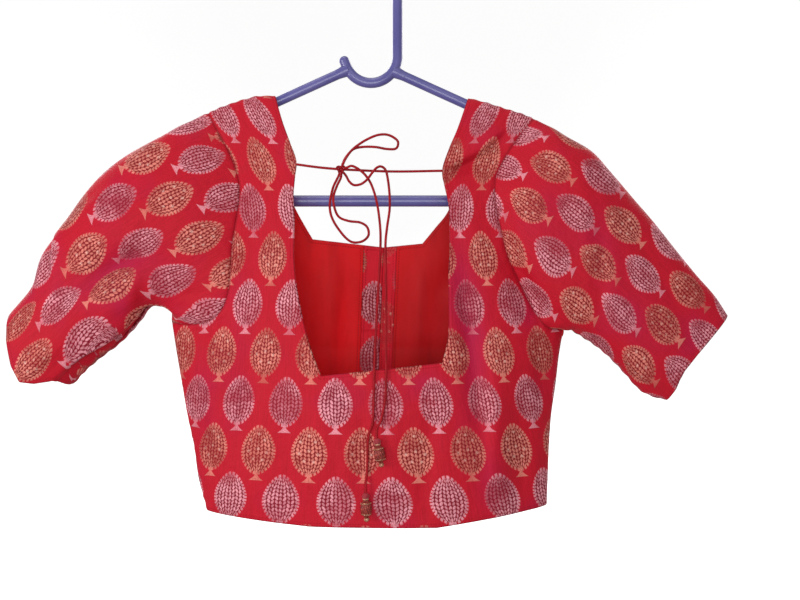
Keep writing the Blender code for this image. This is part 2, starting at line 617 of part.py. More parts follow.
def hanger(look, cutters):
    """Two sloping arms and a bar in one loop, with a notch, a stem and a hook welded on top."""
    slope = math.tan(ARM_SLOPE)
    meet_x = (APEX_Z - BAR_Z) / slope
    share = math.tan(ARM_SLOPE / 2)
    bend_radius = (meet_x - HALF_SPAN) * share / (1 - share)
    bend_x = HALF_SPAN - bend_radius
    bend_z = BAR_Z + bend_radius
    top_x = HOOK_RADIUS * math.cos(math.radians(40))
    bend = arc(bend_x, bend_z, bend_radius, math.pi / 2 - ARM_SLOPE, -math.pi / 2, 9)
    right = [(APEX_X + x, y, z) for x, y, z in [(top_x - APEX_X, 0, APEX_Z - (top_x - APEX_X) * slope)] + bend]
    left = [(APEX_X - x, y, z) for x, y, z in [(top_x + APEX_X, 0, APEX_Z - (top_x + APEX_X) * slope)] + bend]
    left = left[::-1]
    swell = [ARM_RADIUS] * 3 + list(np.linspace(ARM_RADIUS, BAR_RADIUS, len(right) - 3))
    frame = tube("hanger_frame_curve", right + left, ARM_RADIUS, look, 4, swell + swell[::-1])
    hook_z = STEM_RADIUS - HOOK_RADIUS
    path = arc(0, NOTCH_Z, HOOK_RADIUS, math.pi, 2 * math.pi, 15)
    path += arc(0, hook_z, HOOK_RADIUS, 0, HOOK_OPENING, 19)
    ends = [0.45 * STEM_RADIUS, 0.85 * STEM_RADIUS]
    radii = ends + [STEM_RADIUS] * (len(path) - 4) + ends[::-1]
    stem = tube("hanger_stem_curve", path, STEM_RADIUS, look, 4, radii)
    solids = []
    for curve_object in (frame, stem):
        solid = solid_copy(curve_object)
        solids.append(solid)
        bpy.data.objects.remove(curve_object)
    body, cutter = solids
    body.name = "hanger"
    finish(body, look)
    cutters.objects.link(cutter)
    cutter.name = "hanger_stem_cutter"
    cutter.hide_render = True
    cutter.display_type = "WIRE"
    join = body.modifiers.new("stem", "BOOLEAN")
    join.operation = "UNION"
    join.solver = "EXACT"
    join.object = cutter
    return body


def solid_copy(curve_object):
    """The curve's evaluated tube as a closed mesh."""
    graph = bpy.context.evaluated_depsgraph_get()
    mesh = bpy.data.meshes.new_from_object(curve_object.evaluated_get(graph))
    mesh.materials.clear()
    shape = bmesh.new()
    shape.from_mesh(mesh)
    bmesh.ops.remove_doubles(shape, verts=shape.verts, dist=1e-6)
    bmesh.ops.recalc_face_normals(shape, faces=shape.faces)
    shape.to_mesh(mesh)
    shape.free()
    return bpy.data.objects.new(curve_object.name, mesh)


def clear_of_knot(point):
    """Over 1 where a cord's end at this point is clear of the knot."""
    way = (np.asarray(point) - KNOT) / (np.array(KNOT_RADII) + SEAM_GAP + 0.1)
    return float(np.linalg.norm(way))


def cord(name, route, count, look):
    """A cord of even points along a smooth curve through the route, cut back to the knot's surface."""
    fine = [at(route, t) for t in np.arange(0, len(route) - 1 + 0.01, 0.02)]
    while clear_of_knot(fine[0]) < 1:
        fine.pop(0)
    while clear_of_knot(fine[-1]) < 1:
        fine.pop()
    fine = np.array(fine)
    shares = arc_shares(fine)
    points = [[float(np.interp(s, shares, fine[:, k])) for k in range(3)] for s in np.linspace(0, 1, count)]
    tube(name, points, CORD_RADIUS, look, 2)
    length = np.linalg.norm(np.diff(points, axis=0), axis=1).sum()
    print(f"{name}: {length:.1f} mm")


def lying(route, lift):
    """Points on the outside of the back panel."""
    return [(x, body_y(x, z, -1) - lift, z) for x, z in route]


def tassel(name, look):
    """A turned ornament: a small head, a barrel and a bead. Its length runs down from the cord's end."""
    (head_x, head_z), (tip_x, tip_z) = TASSEL_ENDS[name]
    head, tip = lying([(head_x, head_z), (tip_x, tip_z)], TASSEL_LIFT)
    head, tip = np.array(head), np.array(tip)
    length = np.linalg.norm(tip - head)
    mesh = bpy.data.meshes.new(name)
    points = [(radius * MM, 0, -share * length * MM) for radius, share in TASSEL_PROFILE]
    mesh.from_pydata(points, [(i, i + 1) for i in range(len(points) - 1)], [])
    obj = finish(bpy.data.objects.new(name, mesh), look)
    obj.location = head * MM
    obj.rotation_euler = (0, math.atan2(head[0] - tip[0], head[2] - tip[2]), 0)
    turn = obj.modifiers.new("turn", "SCREW")
    turn.steps = turn.render_steps = 12
    turn.use_merge_vertices = True
    turn.merge_threshold = 1e-5
    return head


def clear_scene():
    for obj in list(bpy.data.objects):
        bpy.data.objects.remove(obj)


def build():
    clear_scene()
    parts = bpy.data.collections.new("choli_blouse")
    cutters = bpy.data.collections.new("cutters")
    cutters.hide_render = True
    for collection in (parts, cutters):
        bpy.context.scene.collection.children.link(collection)
    brocade = (CRIMSON, 0.45, 0.0, parts)
    lining_look = (RED_LINING, 0.5, 0.0, parts)
    cord_look = (CORD_RED, 0.55, 0.0, parts)

    back, back_armholes = back_panel()
    front_left = front("left", FRONT_LOW_LEFT, FRONT_STRAP_LEFT, slice(0, 2), 1)
    front_right = front("right", FRONT_LOW_RIGHT, FRONT_STRAP_RIGHT, slice(2, 4), -1)
    sleeve_left = sleeve("sleeve_left", SLEEVE_LEFT, SLEEVE_FOLDS_LEFT, back_armholes[0], front_left[3], True)
    sleeve_right = sleeve(
        "sleeve_right", SLEEVE_RIGHT, SLEEVE_FOLDS_RIGHT, back_armholes[1], front_right[3], False
    )
    shells = [back, front_left[0], front_right[0], sleeve_left, sleeve_right]
    normals = shared_normals(shells)
    for piece in shells[:3]:
        add_wall(piece, normals, CLOTH, brocade)
    for piece in shells[3:]:
        add_wall(piece, normals, CLOTH, brocade, back_off=SLEEVE_BACK_OFF)
    for whole, lining, strip, armhole in (front_left, front_right):
        add_wall(lining, normals, LINING, lining_look, -LINING_LIFT)
        add_wall(strip, normals, CLOTH, brocade, -PLACKET_LIFT)

    knot = np.array(KNOT)
    reach = SEAM_GAP + 0.4
    strap_left = at(np.asarray(BACK_STRAP_LEFT, float)[:, 2:], TIE_ROW_LEFT)
    strap_right = at(np.asarray(BACK_STRAP_RIGHT, float)[:, 2:], TIE_ROW_RIGHT)
    start = np.array([strap_left[0] + reach, body_y(*strap_left, -1), strap_left[1]])
    end = np.array([strap_right[0] - reach, body_y(*strap_right, -1), strap_right[1]])
    sag = np.array([0, 0, -TIE_SAG])
    cord("tie_left", [start, (start + knot) / 2 + sag / 3, knot], 6, cord_look)
    cord("tie_right", [knot, (end + knot) / 2 + sag, end], 9, cord_look)
    cord("bow_loop_upper", [KNOT] + BOW_UPPER + [KNOT], 21, cord_look)
    cord("bow_loop_lower", [KNOT] + BOW_LOWER + [KNOT], 25, cord_look)
    for name, free, lie, count in (
        ("long", TAIL_LONG_FREE, TAIL_LONG_LYING, 34),
        ("short", TAIL_SHORT_FREE, TAIL_SHORT_LYING, 34),
    ):
        head = tassel("tassel_" + name, (ANTIQUE_GOLD, 0.4, 0.3, parts))
        finish_line = [head + (0, 0.6, 8.0), head + (0, 0, 0.3)]
        cord("tail_" + name, [KNOT] + free + lying(lie, CORD_LIFT) + finish_line, count, cord_look)

    mesh = bpy.data.meshes.new("bow_knot")
    shape = bmesh.new()
    bmesh.ops.create_uvsphere(shape, u_segments=14, v_segments=9, radius=1)
    bmesh.ops.scale(shape, vec=np.array(KNOT_RADII) * MM, verts=shape.verts)
    bmesh.ops.translate(shape, vec=knot * MM, verts=shape.verts)
    shape.to_mesh(mesh)
    shape.free()
    finish(bpy.data.objects.new("bow_knot", mesh), cord_look)
    hanger((VIOLET, 0.3, 0.0, parts), cutters)


build()
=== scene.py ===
import math

import bpy
import numpy as np
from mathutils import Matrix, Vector
from mathutils.kdtree import KDTree


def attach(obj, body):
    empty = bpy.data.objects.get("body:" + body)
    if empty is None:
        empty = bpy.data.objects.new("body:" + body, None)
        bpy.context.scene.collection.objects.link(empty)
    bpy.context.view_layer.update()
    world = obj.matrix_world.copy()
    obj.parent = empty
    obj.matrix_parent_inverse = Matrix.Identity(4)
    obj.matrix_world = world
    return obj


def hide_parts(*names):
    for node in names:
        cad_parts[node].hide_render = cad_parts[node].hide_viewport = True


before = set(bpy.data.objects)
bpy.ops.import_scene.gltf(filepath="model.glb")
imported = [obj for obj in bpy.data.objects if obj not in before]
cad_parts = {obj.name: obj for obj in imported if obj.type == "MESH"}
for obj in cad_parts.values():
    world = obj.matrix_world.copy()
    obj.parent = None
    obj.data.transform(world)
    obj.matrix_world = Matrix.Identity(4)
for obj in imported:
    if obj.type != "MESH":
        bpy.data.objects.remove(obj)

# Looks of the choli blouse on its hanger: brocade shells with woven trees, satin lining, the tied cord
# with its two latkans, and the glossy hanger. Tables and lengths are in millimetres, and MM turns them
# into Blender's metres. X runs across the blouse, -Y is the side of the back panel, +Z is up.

MM = 0.001
TAU = 2 * math.pi
TINY = 1e-9
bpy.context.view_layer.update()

# ---------------------------------------------------------------- sizes of the cloth and its seams
CLOTH = 1.2  # brocade and its backing
LINING = 0.7
STRIP_LIFT = 1.7  # from a front's middle surface in to that of its facing strip
LINING_LIFT = 1.5
LAP = 16.0  # how far one front edge lies over the other
LAP_STEP = 0.95  # how far each front gives way there
LAP_EASE = (24.0, 4.0)  # how far from the lap it starts to give way, and has given way
EYE_STRIP = 18.0
HOOK_STRIP = 13.0
EDGE_ROUNDING = 0.5  # how far a folded edge stands out past the middle surface
SEAM_DEPTH = 0.9  # a seam draws the cloth in by this much
SEAM_SPREAD = 2.4
PUCKER_HEIGHT = 0.35  # the stitches gather the cloth a little along a seam
PUCKER_PITCH = 11.0
PUCKER_SPREAD = 7.0
PUCKER_WANDER = 1.7  # how far the puckers slip from even steps, as an angle
WANDER_PITCH = 23.0
LINE_STEP = 0.5  # between the points that stand for an edge or a seam
FAR = 999.0  # the distance given where a piece has no such line

# ---------------------------------------------------------------- sizes of the hanger
ARM_SLOPE = math.radians(24.4)
APEX_X = -1.8  # where the middles of the two arms would meet
APEX_Z = -87.6
BAR_Z = -214.7
HALF_SPAN = 200.0  # from the apex to the outermost point of each bend's middle line
ARM_RADIUS = 4.4
STEM_RADIUS = 4.6
BAR_RADIUS = 5.1
HOOK_RADIUS = 23.9
NOTCH_Z = -84.2  # the middle of the notch's curve
HOOK_OPENING = math.radians(197)
TIP_ANGLE = math.radians(203)  # where the notch's free end leaves its curve
TIP_LENGTH = 6.0
TIP_START = 0.5
JOINT_X = (20.7, 19.9)  # how far out the left and the right arm meet the notch
FLARE = 1.2  # how much an arm thickens there
FLARE_LENGTH = 12.0
HOOK_CAP = 0.9  # how far the hook's rounded ends reach, in radii

# ---------------------------------------------------------------- sizes of the cord and its latkans
CORD_RADIUS = 1.1
CORD_CAP = 0.8
TIE_ROW_LEFT = 10.8  # where on the strap's rows the tie is sewn
TIE_ROW_RIGHT = 10.95
TIE_SAG = 1.2  # of the right tie, and a third of it for the left, which is shorter
KNOT_REACH = 0.7  # from the cord's sewn end to the edge of the strap

# ---------------------------------------------------------------- the body of the blouse
# Level sections of the body: how far it reaches each way. Columns: z, left, right, back, front.
SECTIONS = [
    (-496, -148, 159, 43, 44), (-465, -156, 160, 45, 52), (-436, -160, 161, 46, 60),
    (-408, -166, 163, 46, 67), (-379, -171, 167, 45, 70), (-350, -176, 170, 43, 68),
    (-324, -180, 174, 40, 62), (-280, -187, 182, 35, 50), (-230, -196, 191, 28, 36),
    (-180, -202, 197, 20, 24), (-150, -204, 200, 14, 15), (-115, -204, 200, 9, 9),
]
# The body's depth across a section: (1 - across ** fullness) ** rounding of its depth in the middle.
BACK_FULLNESS = 2.2
FRONT_FULLNESS = 2.6
SIDE_ROUNDING = 0.72
SHOULDER_ROUNDING = 6.5  # radius of the cloth's fold over the shoulder
SHOULDER_SPREAD = 0.2
BLEND = 3.0  # how sharply the body's curve turns into the fold at the shoulder
SHALLOW = 15.0  # folds flatten where the body is shallower than this
LEAST_DEPTH = 1e-3

# The line of the shoulders and sleeves, where the cloth folds from back to front. Columns: x, z.
RIDGE = [
    (-330, -318), (-297, -262), (-257, -211), (-217, -173.5), (-187, -157), (-163, -144),
    (-147, -135.5), (-136, -130.5), (-119, -124.5), (-103, -120.2), (-86.5, -119.9),
    (0, -90),
    (88, -122.1), (104, -126), (121, -131.5), (136, -136), (147, -140.5),
    (159, -148), (176, -157.5), (198, -170.5), (215, -189), (234, -211), (274, -258), (325, -318),
]

# The side seams, from the hem to the armpits. Columns: left_x, left_z, right_x, right_z.
SIDES = [
    (-148, -493, 159, -488), (-156, -465, 160, -462), (-160, -436, 161, -436), (-166, -408, 163, -408),
    (-171, -379, 167, -380), (-176, -350, 170, -354), (-180, -324, 174, -330),
]

# Columns: left_neck_x, left_neck_z, right_neck_x, right_neck_z.
BACK_LOW = [
    (-52, -500, 58, -501), (-49, -467, 60, -467), (-46, -434, 61, -431), (-44, -403, 62, -398),
    (-42, -370, 63, -359),
]
BACK_ARMPIT_ROW = 2
# Columns: outer_x, outer_z, inner_x, inner_z.
BACK_STRAP_LEFT = [
    (-171, -379, -42, -370), (-176, -350, -50, -350), (-180, -324, -57, -327), (-162, -326, -61, -309),
    (-145, -323, -64, -294), (-132, -314, -66, -278), (-125, -297, -67, -262), (-123, -277, -67, -246),
    (-122, -257, -67, -230), (-119, -236, -68, -212), (-116, -215, -67, -196), (-117, -197, -66, -181),
    (-124, -177, -72, -164), (-134, -158, -79, -145), (-147, -135.5, -86.5, -119.9),
]
BACK_STRAP_RIGHT = [
    (167, -380, 63, -359), (170, -354, 67, -343), (174, -330, 69, -325), (159, -329, 69, -309),
    (148, -318, 69, -294), (139, -302, 69, -278), (129.5, -283, 70, -262), (121, -264, 70, -247),
    (116, -245, 70, -232), (112, -226, 69, -218), (110, -208, 66, -204), (112, -192, 64, -189),
    (122, -173, 70, -170), (134, -156, 78, -151), (147, -140.5, 88, -122.1),
]

FRONT_ARMPIT_ROW = 6
# Columns: outer_x, outer_z, middle_x, middle_z, opening_z.
FRONT_LOW_LEFT = [
    (-148, -493, -52, -495, -495), (-156, -465, -52, -464, -464), (-160, -436, -52, -433, -433),
    (-166, -408, -52, -402, -402), (-171, -379, -52, -371, -371), (-176, -350, -52, -342, -342),
    (-180, -324, -52, -317, -317), (-166, -326, -52, -299, -300), (-152, -318, -52, -285, -287),
    (-140, -304, -52.5, -271, -275), (-132, -285, -54, -259, -265), (-128, -264, -56, -247.5, -255),
]
FRONT_LOW_RIGHT = [
    (159, -488, 55, -495, -495), (160, -462, 55, -464, -464), (161, -436, 55, -433, -433),
    (163, -408, 55, -402, -402), (167, -380, 55, -371, -371), (170, -354, 55, -342, -342),
    (174, -330, 55, -317, -317), (161, -329, 55, -299, -300), (147, -320, 55, -285, -286),
    (136, -305, 54, -273, -275), (128, -286, 51, -262, -264.5), (125, -265, 47.5, -251.5, -255),
]
# Columns: outer_x, outer_z, inner_x, inner_z.
FRONT_STRAP_LEFT = [
    (-128, -264, -56, -247.5), (-127, -243, -63.5, -234.5), (-127, -224, -70.5, -221.5),
    (-128, -206, -76.5, -208), (-130, -188, -81, -195), (-134, -170, -84, -172), (-139, -153, -86, -147),
    (-147, -135.5, -86.5, -119.9),
]
FRONT_STRAP_RIGHT = [
    (125, -265, 47.5, -251.5), (124, -244, 59.5, -237), (124, -225, 70, -224), (125, -207, 76.5, -209),
    (128, -189, 81, -194), (133, -171, 85, -172), (139, -156, 87, -148), (147, -140.5, 88, -122.1),
]
# Where the left front's free edge runs, as x and z.
OPENING = [(1.0, -496), (5.0, -377), (10.5, -250)]
LEFT, RIGHT = slice(0, 2), slice(2, 4)  # the columns of each side in SIDES and BACK_LOW
# Each front's tables, its columns in SIDES, and its hand.
FRONTS = {
    "left": (FRONT_LOW_LEFT, FRONT_STRAP_LEFT, LEFT, 1),
    "right": (FRONT_LOW_RIGHT, FRONT_STRAP_RIGHT, RIGHT, -1),
}
STRIP_NODES = {"left": "eye_strip", "right": "hook_strip"}

# ---------------------------------------------------------------- the sleeves
# Columns: top_x, top_z, low_x, low_z, back, front, sweep.
SLEEVE_LEFT = [
    (-164, -144.5, -182, -312, 33, 31, 0), (-187, -157, -199, -310, 38, 35, 0),
    (-217, -173.5, -208, -321, 39, 36, 0), (-239, -190, -217, -332, 38, 35, 1),
    (-258, -211.5, -229, -344, 37, 33, 3), (-276, -238, -241, -353, 35, 31, 7),
    (-293, -262, -251, -361, 33, 29, 12), (-301, -289, -260, -369, 31, 27, 18),
    (-322, -315, -270, -380, 30, 26, 26),
]
SLEEVE_RIGHT = [
    (160, -148, 180, -331, 33, 32, 0), (176, -157.5, 186, -334, 35, 34, 0),
    (198, -170.5, 194, -339, 34, 34, 0), (215, -189, 203, -345, 32, 32, 0),
    (234, -211, 213, -353, 29, 30, -1), (254, -234, 223, -363, 26, 28, -1),
    (274, -259, 233, -374, 23, 26, -2), (293, -282, 243, -385, 20, 24, -3),
    (309, -300, 254, -391, 17, 22, -4), (321, -318, 266, -394, 15, 20, -5),
]
SWEEP_SHAPE = [(0, 0), (0.12, 0.25), (0.25, 0.5), (0.5, 0.88), (0.68, 1), (0.78, 0.7), (0.87, 0.2), (1, 0)]
RING_SQUARENESS = 0.86

# ---------------------------------------------------------------- folds and creases
# Soft ridges (+) and troughs (-) from one point to another as seen from the front. A crease is steep
# on one side: spread_a is its width to the left of its way as drawn, and spread_b to the right.
# Columns: from_x, from_z, to_x, to_z, spread_a, spread_b, height.
BACK_FOLDS = [
    (80, -275, 96, -425, 10, 9, -6.0), (110, -345, 109, -480, 16, 7, 4.5),
    (128, -400, 134, -488, 10, 12, -4.5), (-106, -340, -112, -440, 12, 10, -3.5),
    (64, -187, 106, -166, 10, 2.5, 4.5), (66, -193, 107, -172, 2.5, 11, -5.5),
    (98, -169, 119, -150, 10, 2.5, 4.0), (99, -175, 121, -156, 2.5, 11, -5.0),
    (-75, -175, -112, -196, 9, 9, -2.0), (-166, -338, -122, -318, 5, 10, -3.5),
    (-128, -330, -146, -388, 11, 9, 2.5), (-4, -388, -8, -492, 7, 9, -2.6),
    (22, -384, 16, -486, 11, 9, 2.2), (52, -392, 46, -494, 9, 8, -2.6), (-76, -404, -66, -496, 8, 11, -2.4),
    (-44, -384, -40, -470, 10, 8, 1.8), (151, -340, 157, -410, 9, 9, -3.5),
    (120, -256, 149, -325, 3, 13, -7.0), (-106, -212, -100, -300, 10, 10, -2.2),
    (86, -206, 92, -262, 10, 9, 2.0), (-150, -400, -142, -470, 9, 9, -2.6),
]
FRONT_FOLDS = [
    (-70, -494, -76, -395, 9, 9, -4.0), (74, -494, 78, -395, 9, 9, -4.0),
    (-172, -345, -95, -385, 9, 9, -3.5), (168, -352, 96, -386, 9, 9, -3.5),
    (-110, -240, -60, -300, 12, 12, 2.5), (112, -240, 62, -300, 12, 12, 2.5),
    (-128, -300, -104, -372, 10, 8, -3.0), (126, -300, 108, -380, 9, 11, -3.2),
    (-30, -470, -34, -380, 10, 8, -2.2), (38, -478, 34, -395, 8, 10, 2.0),
    (-126, -470, -132, -405, 10, 9, 2.8), (130, -474, 128, -400, 9, 9, -2.8),
    (-84, -196, -112, -214, 7, 9, -2.5), (88, -190, 118, -206, 9, 7, -2.8),
    (-36, -262, -40, -368, 9, 12, -2.6), (48, -262, 43, -368, 12, 9, -2.6),
    (-60, -275, -66, -372, 8, 9, 2.4),
]
# On a sleeve: from and to as rings from the shoulder and a share of the way round from the top, above 0
# on the back's side and below it on the front's. The spreads are in millimetres: a towards larger shares.
RING_STEP = 20.0
TURN_LENGTH = 330.0
FADE = 0.25  # how far past its ends a fold fades out, as a share of its length
FOLD_START = 0.6  # the share of a sleeve's first ring over which its folds begin
SLEEVE_FOLDS_LEFT = [
    (1.2, 0.46, 8.6, 0.372, 4, 16, 4.5), (1.4, 0.49, 8.8, 0.408, 12, 4, -8.0),
    (1.2, 0.335, 5.6, 0.262, 9, 12, -9.0), (1.5, 0.27, 5.8, 0.2, 11, 12, 2.6),
    (1.4, 0.4, 5.0, 0.335, 9, 10, 3.2), (0.2, 0.36, 1.0, 0.40, 4, 8, -3.4),
    (0.15, 0.41, 0.9, 0.455, 9, 5, 3.4), (6.1, 0.04, 6.35, 0.2, 9, 2.5, 3.4),
    (6.4, 0.05, 6.6, 0.2, 2.5, 9, -3.2), (6.7, 0.2, 8.8, 0.14, 9, 10, -2.4),
    (3.4, 0.12, 5.6, 0.08, 10, 12, -2.2), (6.4, 0.33, 8.8, 0.3, 8, 10, 2.6),
    (2.0, -0.25, 7.0, -0.30, 12, 14, -4.0), (0.6, -0.40, 3.0, -0.36, 10, 12, 3.0),
    (4.4, -0.43, 8.6, -0.40, 9, 8, -3.4), (1.0, -0.16, 3.2, -0.2, 12, 10, 2.2),
    (6.2, -0.05, 6.5, -0.2, 3, 9, -2.8),
]
# Cloth tucked away in a deep crease, as millimetres of pattern that don't show.
SLEEVE_TUCKS_LEFT = [(1.0, 0.35, 7.0, 0.26, 7, 7, 11.0)]
SLEEVE_TUCKS_RIGHT = [(0.6, 0.3, 1.0, 0.42, 6, 6, 2.0)]
SLEEVE_FOLDS_RIGHT = [
    (0.25, 0.075, 1.0, 0.118, 3, 10, 3.0), (0.3, 0.095, 1.2, 0.14, 9, 3, -3.2),
    (0.5, 0.2, 0.6, 0.45, 5, 15, 6.0), (1.3, 0.30, 4.8, 0.36, 10, 13, -2.6),
    (3.2, 0.18, 3.9, 0.40, 14, 14, -2.6), (4.0, 0.14, 8.4, 0.2, 11, 13, -2.8),
    (5.8, 0.40, 9.2, 0.375, 7, 12, 3.0), (6.4, 0.27, 9.4, 0.25, 10, 11, 2.2),
    (1.6, 0.47, 5.4, 0.455, 6, 10, -2.8), (2.0, -0.26, 8.0, -0.30, 12, 14, -3.8),
    (0.8, -0.38, 3.5, -0.40, 12, 10, 3.0), (4.0, -0.14, 7.4, -0.18, 10, 12, 2.4),
    (3.4, -0.22, 4.0, -0.4, 12, 11, -2.6),
]
# Painted sheen and shade: along these lines the shot silk is painted magenta, as its weft shows where the
# cloth is creased or turned to the light, and its woven threads are painted dull.
# Columns: from_x, from_z, to_x, to_z, spread_a, spread_b, amount.
BACK_PAINTED_SHEEN = [
    (84, -262, 93, -420, 13, 10, 1.0), (72, -250, 76, -325, 9, 9, 0.7), (24, -374, 66, -378, 12, 10, 0.55),
    (-150, -350, -143, -440, 12, 12, 0.5), (-128, -395, -104, -402, 26, 20, 0.5),
    (122, -300, 146, -330, 12, 10, 0.8), (102, -432, 106, -492, 13, 12, 0.6),
    (-30, -388, -32, -402, 16, 16, 0.5), (150, -478, 152, -492, 14, 14, 0.5),
    (-92, -255, -84, -275, 13, 12, 0.4), (-118, -268, -112, -330, 10, 9, 0.35),
    (-78, -478, -70, -492, 13, 13, 0.35),
]
FRONT_PAINTED_SHEEN = [
    (-72, -490, -78, -400, 12, 12, 0.8), (76, -490, 80, -400, 12, 12, 0.8),
    (-166, -350, -100, -384, 12, 12, 0.7), (162, -356, 100, -386, 12, 12, 0.7),
    (-100, -250, -70, -290, 14, 14, 0.4), (108, -312, 100, -370, 12, 12, 0.5),
]
SLEEVE_PAINTED_SHEEN_LEFT = [
    (1.3, 0.335, 5.8, 0.262, 12, 10, 1.0), (3.0, 0.37, 4.6, 0.35, 14, 12, 0.6),
    (6.9, 0.1, 8.4, 0.1, 16, 16, 0.7), (2.6, 0.19, 4.4, 0.17, 16, 16, 0.45),
    (6.0, 0.25, 6.8, 0.24, 18, 16, 0.5), (2.0, -0.25, 7.0, -0.30, 12, 12, 0.8),
]
SLEEVE_PAINTED_SHEEN_RIGHT = [
    (0.7, 0.2, 1.5, 0.24, 15, 14, 0.5), (1.0, 0.12, 1.6, 0.15, 13, 13, 0.3),
    (3.1, 0.18, 4.2, 0.30, 22, 20, 0.5), (4.4, 0.3, 8.0, 0.29, 16, 20, 0.45),
    (8.6, 0.25, 9.8, 0.22, 20, 20, 0.5), (2.0, -0.26, 8.0, -0.30, 12, 12, 0.7),
]
# Each sleeve's rings, folds, tucks and lines of painted sheen.
SLEEVES = {
    "left": (SLEEVE_LEFT, SLEEVE_FOLDS_LEFT, SLEEVE_TUCKS_LEFT, SLEEVE_PAINTED_SHEEN_LEFT),
    "right": (SLEEVE_RIGHT, SLEEVE_FOLDS_RIGHT, SLEEVE_TUCKS_RIGHT, SLEEVE_PAINTED_SHEEN_RIGHT),
}

# ---------------------------------------------------------------- the cord's way
# Columns: x, y, z.
KNOT = (-26.0, -23.0, -189.0)
KNOT_RADII = (4.7, 4.0, 5.0)
KNOT_SCALE = 1.22
KNOT_DEPTH = 1.1
KNOT_POINTS = 90
KNOT_INSIDE = 0.8  # a cord ends where it is this share of the knot's radii from its middle
BOW_UPPER = [
    (-23.8, -27, -184.8), (-21.1, -29, -179.8), (-15.8, -30, -172.9), (-7.9, -31, -166.9),
    (0.0, -31.5, -162.6), (7.0, -31.5, -160.0), (14.0, -31.5, -159.6), (20.1, -31.5, -161.8),
    (24.5, -31.5, -166.1), (22.7, -31, -171.7), (14.8, -30.5, -172.1), (4.3, -29.5, -170.2),
    (-7.1, -28, -170.0), (-15.1, -26, -171.9), (-21.3, -24, -178.2), (-24.0, -23.5, -183.4),
]
BOW_LOWER = [
    (-27.9, -24, -194.9), (-32.7, -26, -205.7), (-35.2, -28, -219.1), (-34.6, -29.5, -228.0),
    (-31.5, -31, -235.9), (-26.2, -32, -243.9), (-20.0, -33, -250.9), (-13.9, -33.5, -254.0),
    (-6.0, -34, -252.7), (-1.2, -34, -247.5), (-2.5, -34, -240.5), (-8.6, -34, -236.6),
    (-18.1, -34.5, -235.4), (-26.8, -34.5, -231.9), (-30.8, -34, -223.9), (-31.9, -32.5, -214.2),
    (-28.9, -30.5, -204.3), (-25.5, -28, -196.3),
]
TAIL_LONG_FREE = [
    (-20.2, -26, -187.6), (-15.9, -28, -186.6), (-9.7, -29, -189.8), (-3.5, -30, -195.6),
    (1.7, -31, -204.5), (6.1, -33, -219.5), (8.8, -36, -238.9), (9.3, -38, -256.4), (8.1, -40.1, -282.5),
    (6.0, -43.2, -321.3), (4.8, -45.2, -346.9),
]
TAIL_SHORT_FREE = [
    (-21.5, -24, -194.5), (-18.4, -27, -200.0), (-14.1, -29.5, -203.5), (-7.8, -32, -202.9),
    (-2.5, -34, -199.2), (1.8, -34.5, -193.6), (5.7, -34, -189.1), (9.6, -33, -187.7),
    (13.6, -32.5, -190.7), (15.7, -32.5, -199.4), (17.1, -33.5, -212.6), (17.1, -35, -225.8),
    (14.9, -37, -241.6), (13.6, -39, -256.5), (14.1, -40.8, -282.5), (14.2, -43.6, -321.3),
    (14.2, -45.4, -346.9),
]
# Columns: x, z.
TAIL_LONG_LYING = [
    (4.0, -365.6), (3.6, -389.6), (2.7, -409.2), (-0.3, -417.8), (-1.6, -428.0), (-2.0, -449.4),
]
TAIL_SHORT_LYING = [(14.2, -365.6), (13.4, -389.6), (10.0, -406.7)]
TASSEL_ENDS = {
    "tassel_long": ((-3.4, -469.5), (-2.4, -494.0)),
    "tassel_short": ((6.3, -422.5), (10.6, -446.7)),
}
CORD_LIFT = 2.7  # of the tails' middle off the back panel
TASSEL_LIFT = 6.2
TAIL_END_STEPS = ((0, 0.6, 8.0), (0, 0, -0.6))  # the way's last two points, from the latkan's head

# ---------------------------------------------------------------- how the woven pattern lies on each piece
MOTIF_ACROSS = 45.0  # from one tree to the next in a row
MOTIF_UP = 85.0  # from one row of silver trees to the next; gold rows lie between, half a tree across
MIDDLE_X = 7.5  # where the body is measured across from
# How the cloth was cut and hangs, for each piece. The pattern is moved across and up. Its uprights lean by
# a slope, which bends with each 100 mm up and spreads with each 100 mm across, and it is stretched across.
# Its rows tilt by a slope, which bows with each 100 mm across and fans with each 100 mm up.
# Columns: across, stretch, lean, bend, spread, up, tilt, bow, fan.
PATTERN = {
    "back_panel": (-13.0, -0.13, 0.058, 0.0, 0.14, -35.0, 0.0, -0.01, 0.0),
    "front_left": (9.0, 0.0, 0.03, 0.0, 0.0, -20.0, 0.0, 0.0, 0.0),
    "front_right": (-12.0, 0.0, -0.03, 0.0, 0.0, -22.0, 0.0, 0.0, 0.0),
    "sleeve_left": (-30.9, 0.12, -0.024, -0.028, -0.031, -80.7, 0.487, -0.162, -0.076),
    "sleeve_right": (-1.6, 0.12, -0.088, -0.015, 0.004, -97.1, -0.109, 0.261, 0.042),
    "eye_strip": (6.1, 0.0, 0.0, 0.0, 0.0, 45.0, 0.0, 0.0, 0.0),
    "hook_strip": (18.5, 0.0, 0.0, 0.0, 0.0, 22.0, 0.0, 0.0, 0.0),
}
JOIN_Z = -333.7  # the eye strip is pieced here, and below it the pattern is this much further on
JOIN_STEP = 31.0
JOIN_BARE = 3.0  # no thread of a tree shows this close to it
BARE_TINT = -2.0
# Inside the opening the silk is painted brighter than outside, as painted light, and the hooks' strip is
# cut where few trees fall.
STRIP_TINT = {"left": -1.0, "right": -1.75}
STRAP_FLARE = 35.0  # near the shoulders the back's pattern leans outwards: at 100 mm above FLARE_UP
FLARE_UP = 255.0

# ---------------------------------------------------------------- how finely the shells are laid out
SIDE_CELLS = 44
NECK_CELLS = 52
FRONT_CELLS = 26
STRIP_CELLS = 8
CROWDING = 1.25  # of the columns towards the sides
ROWS = 13  # of cells to each row of a table
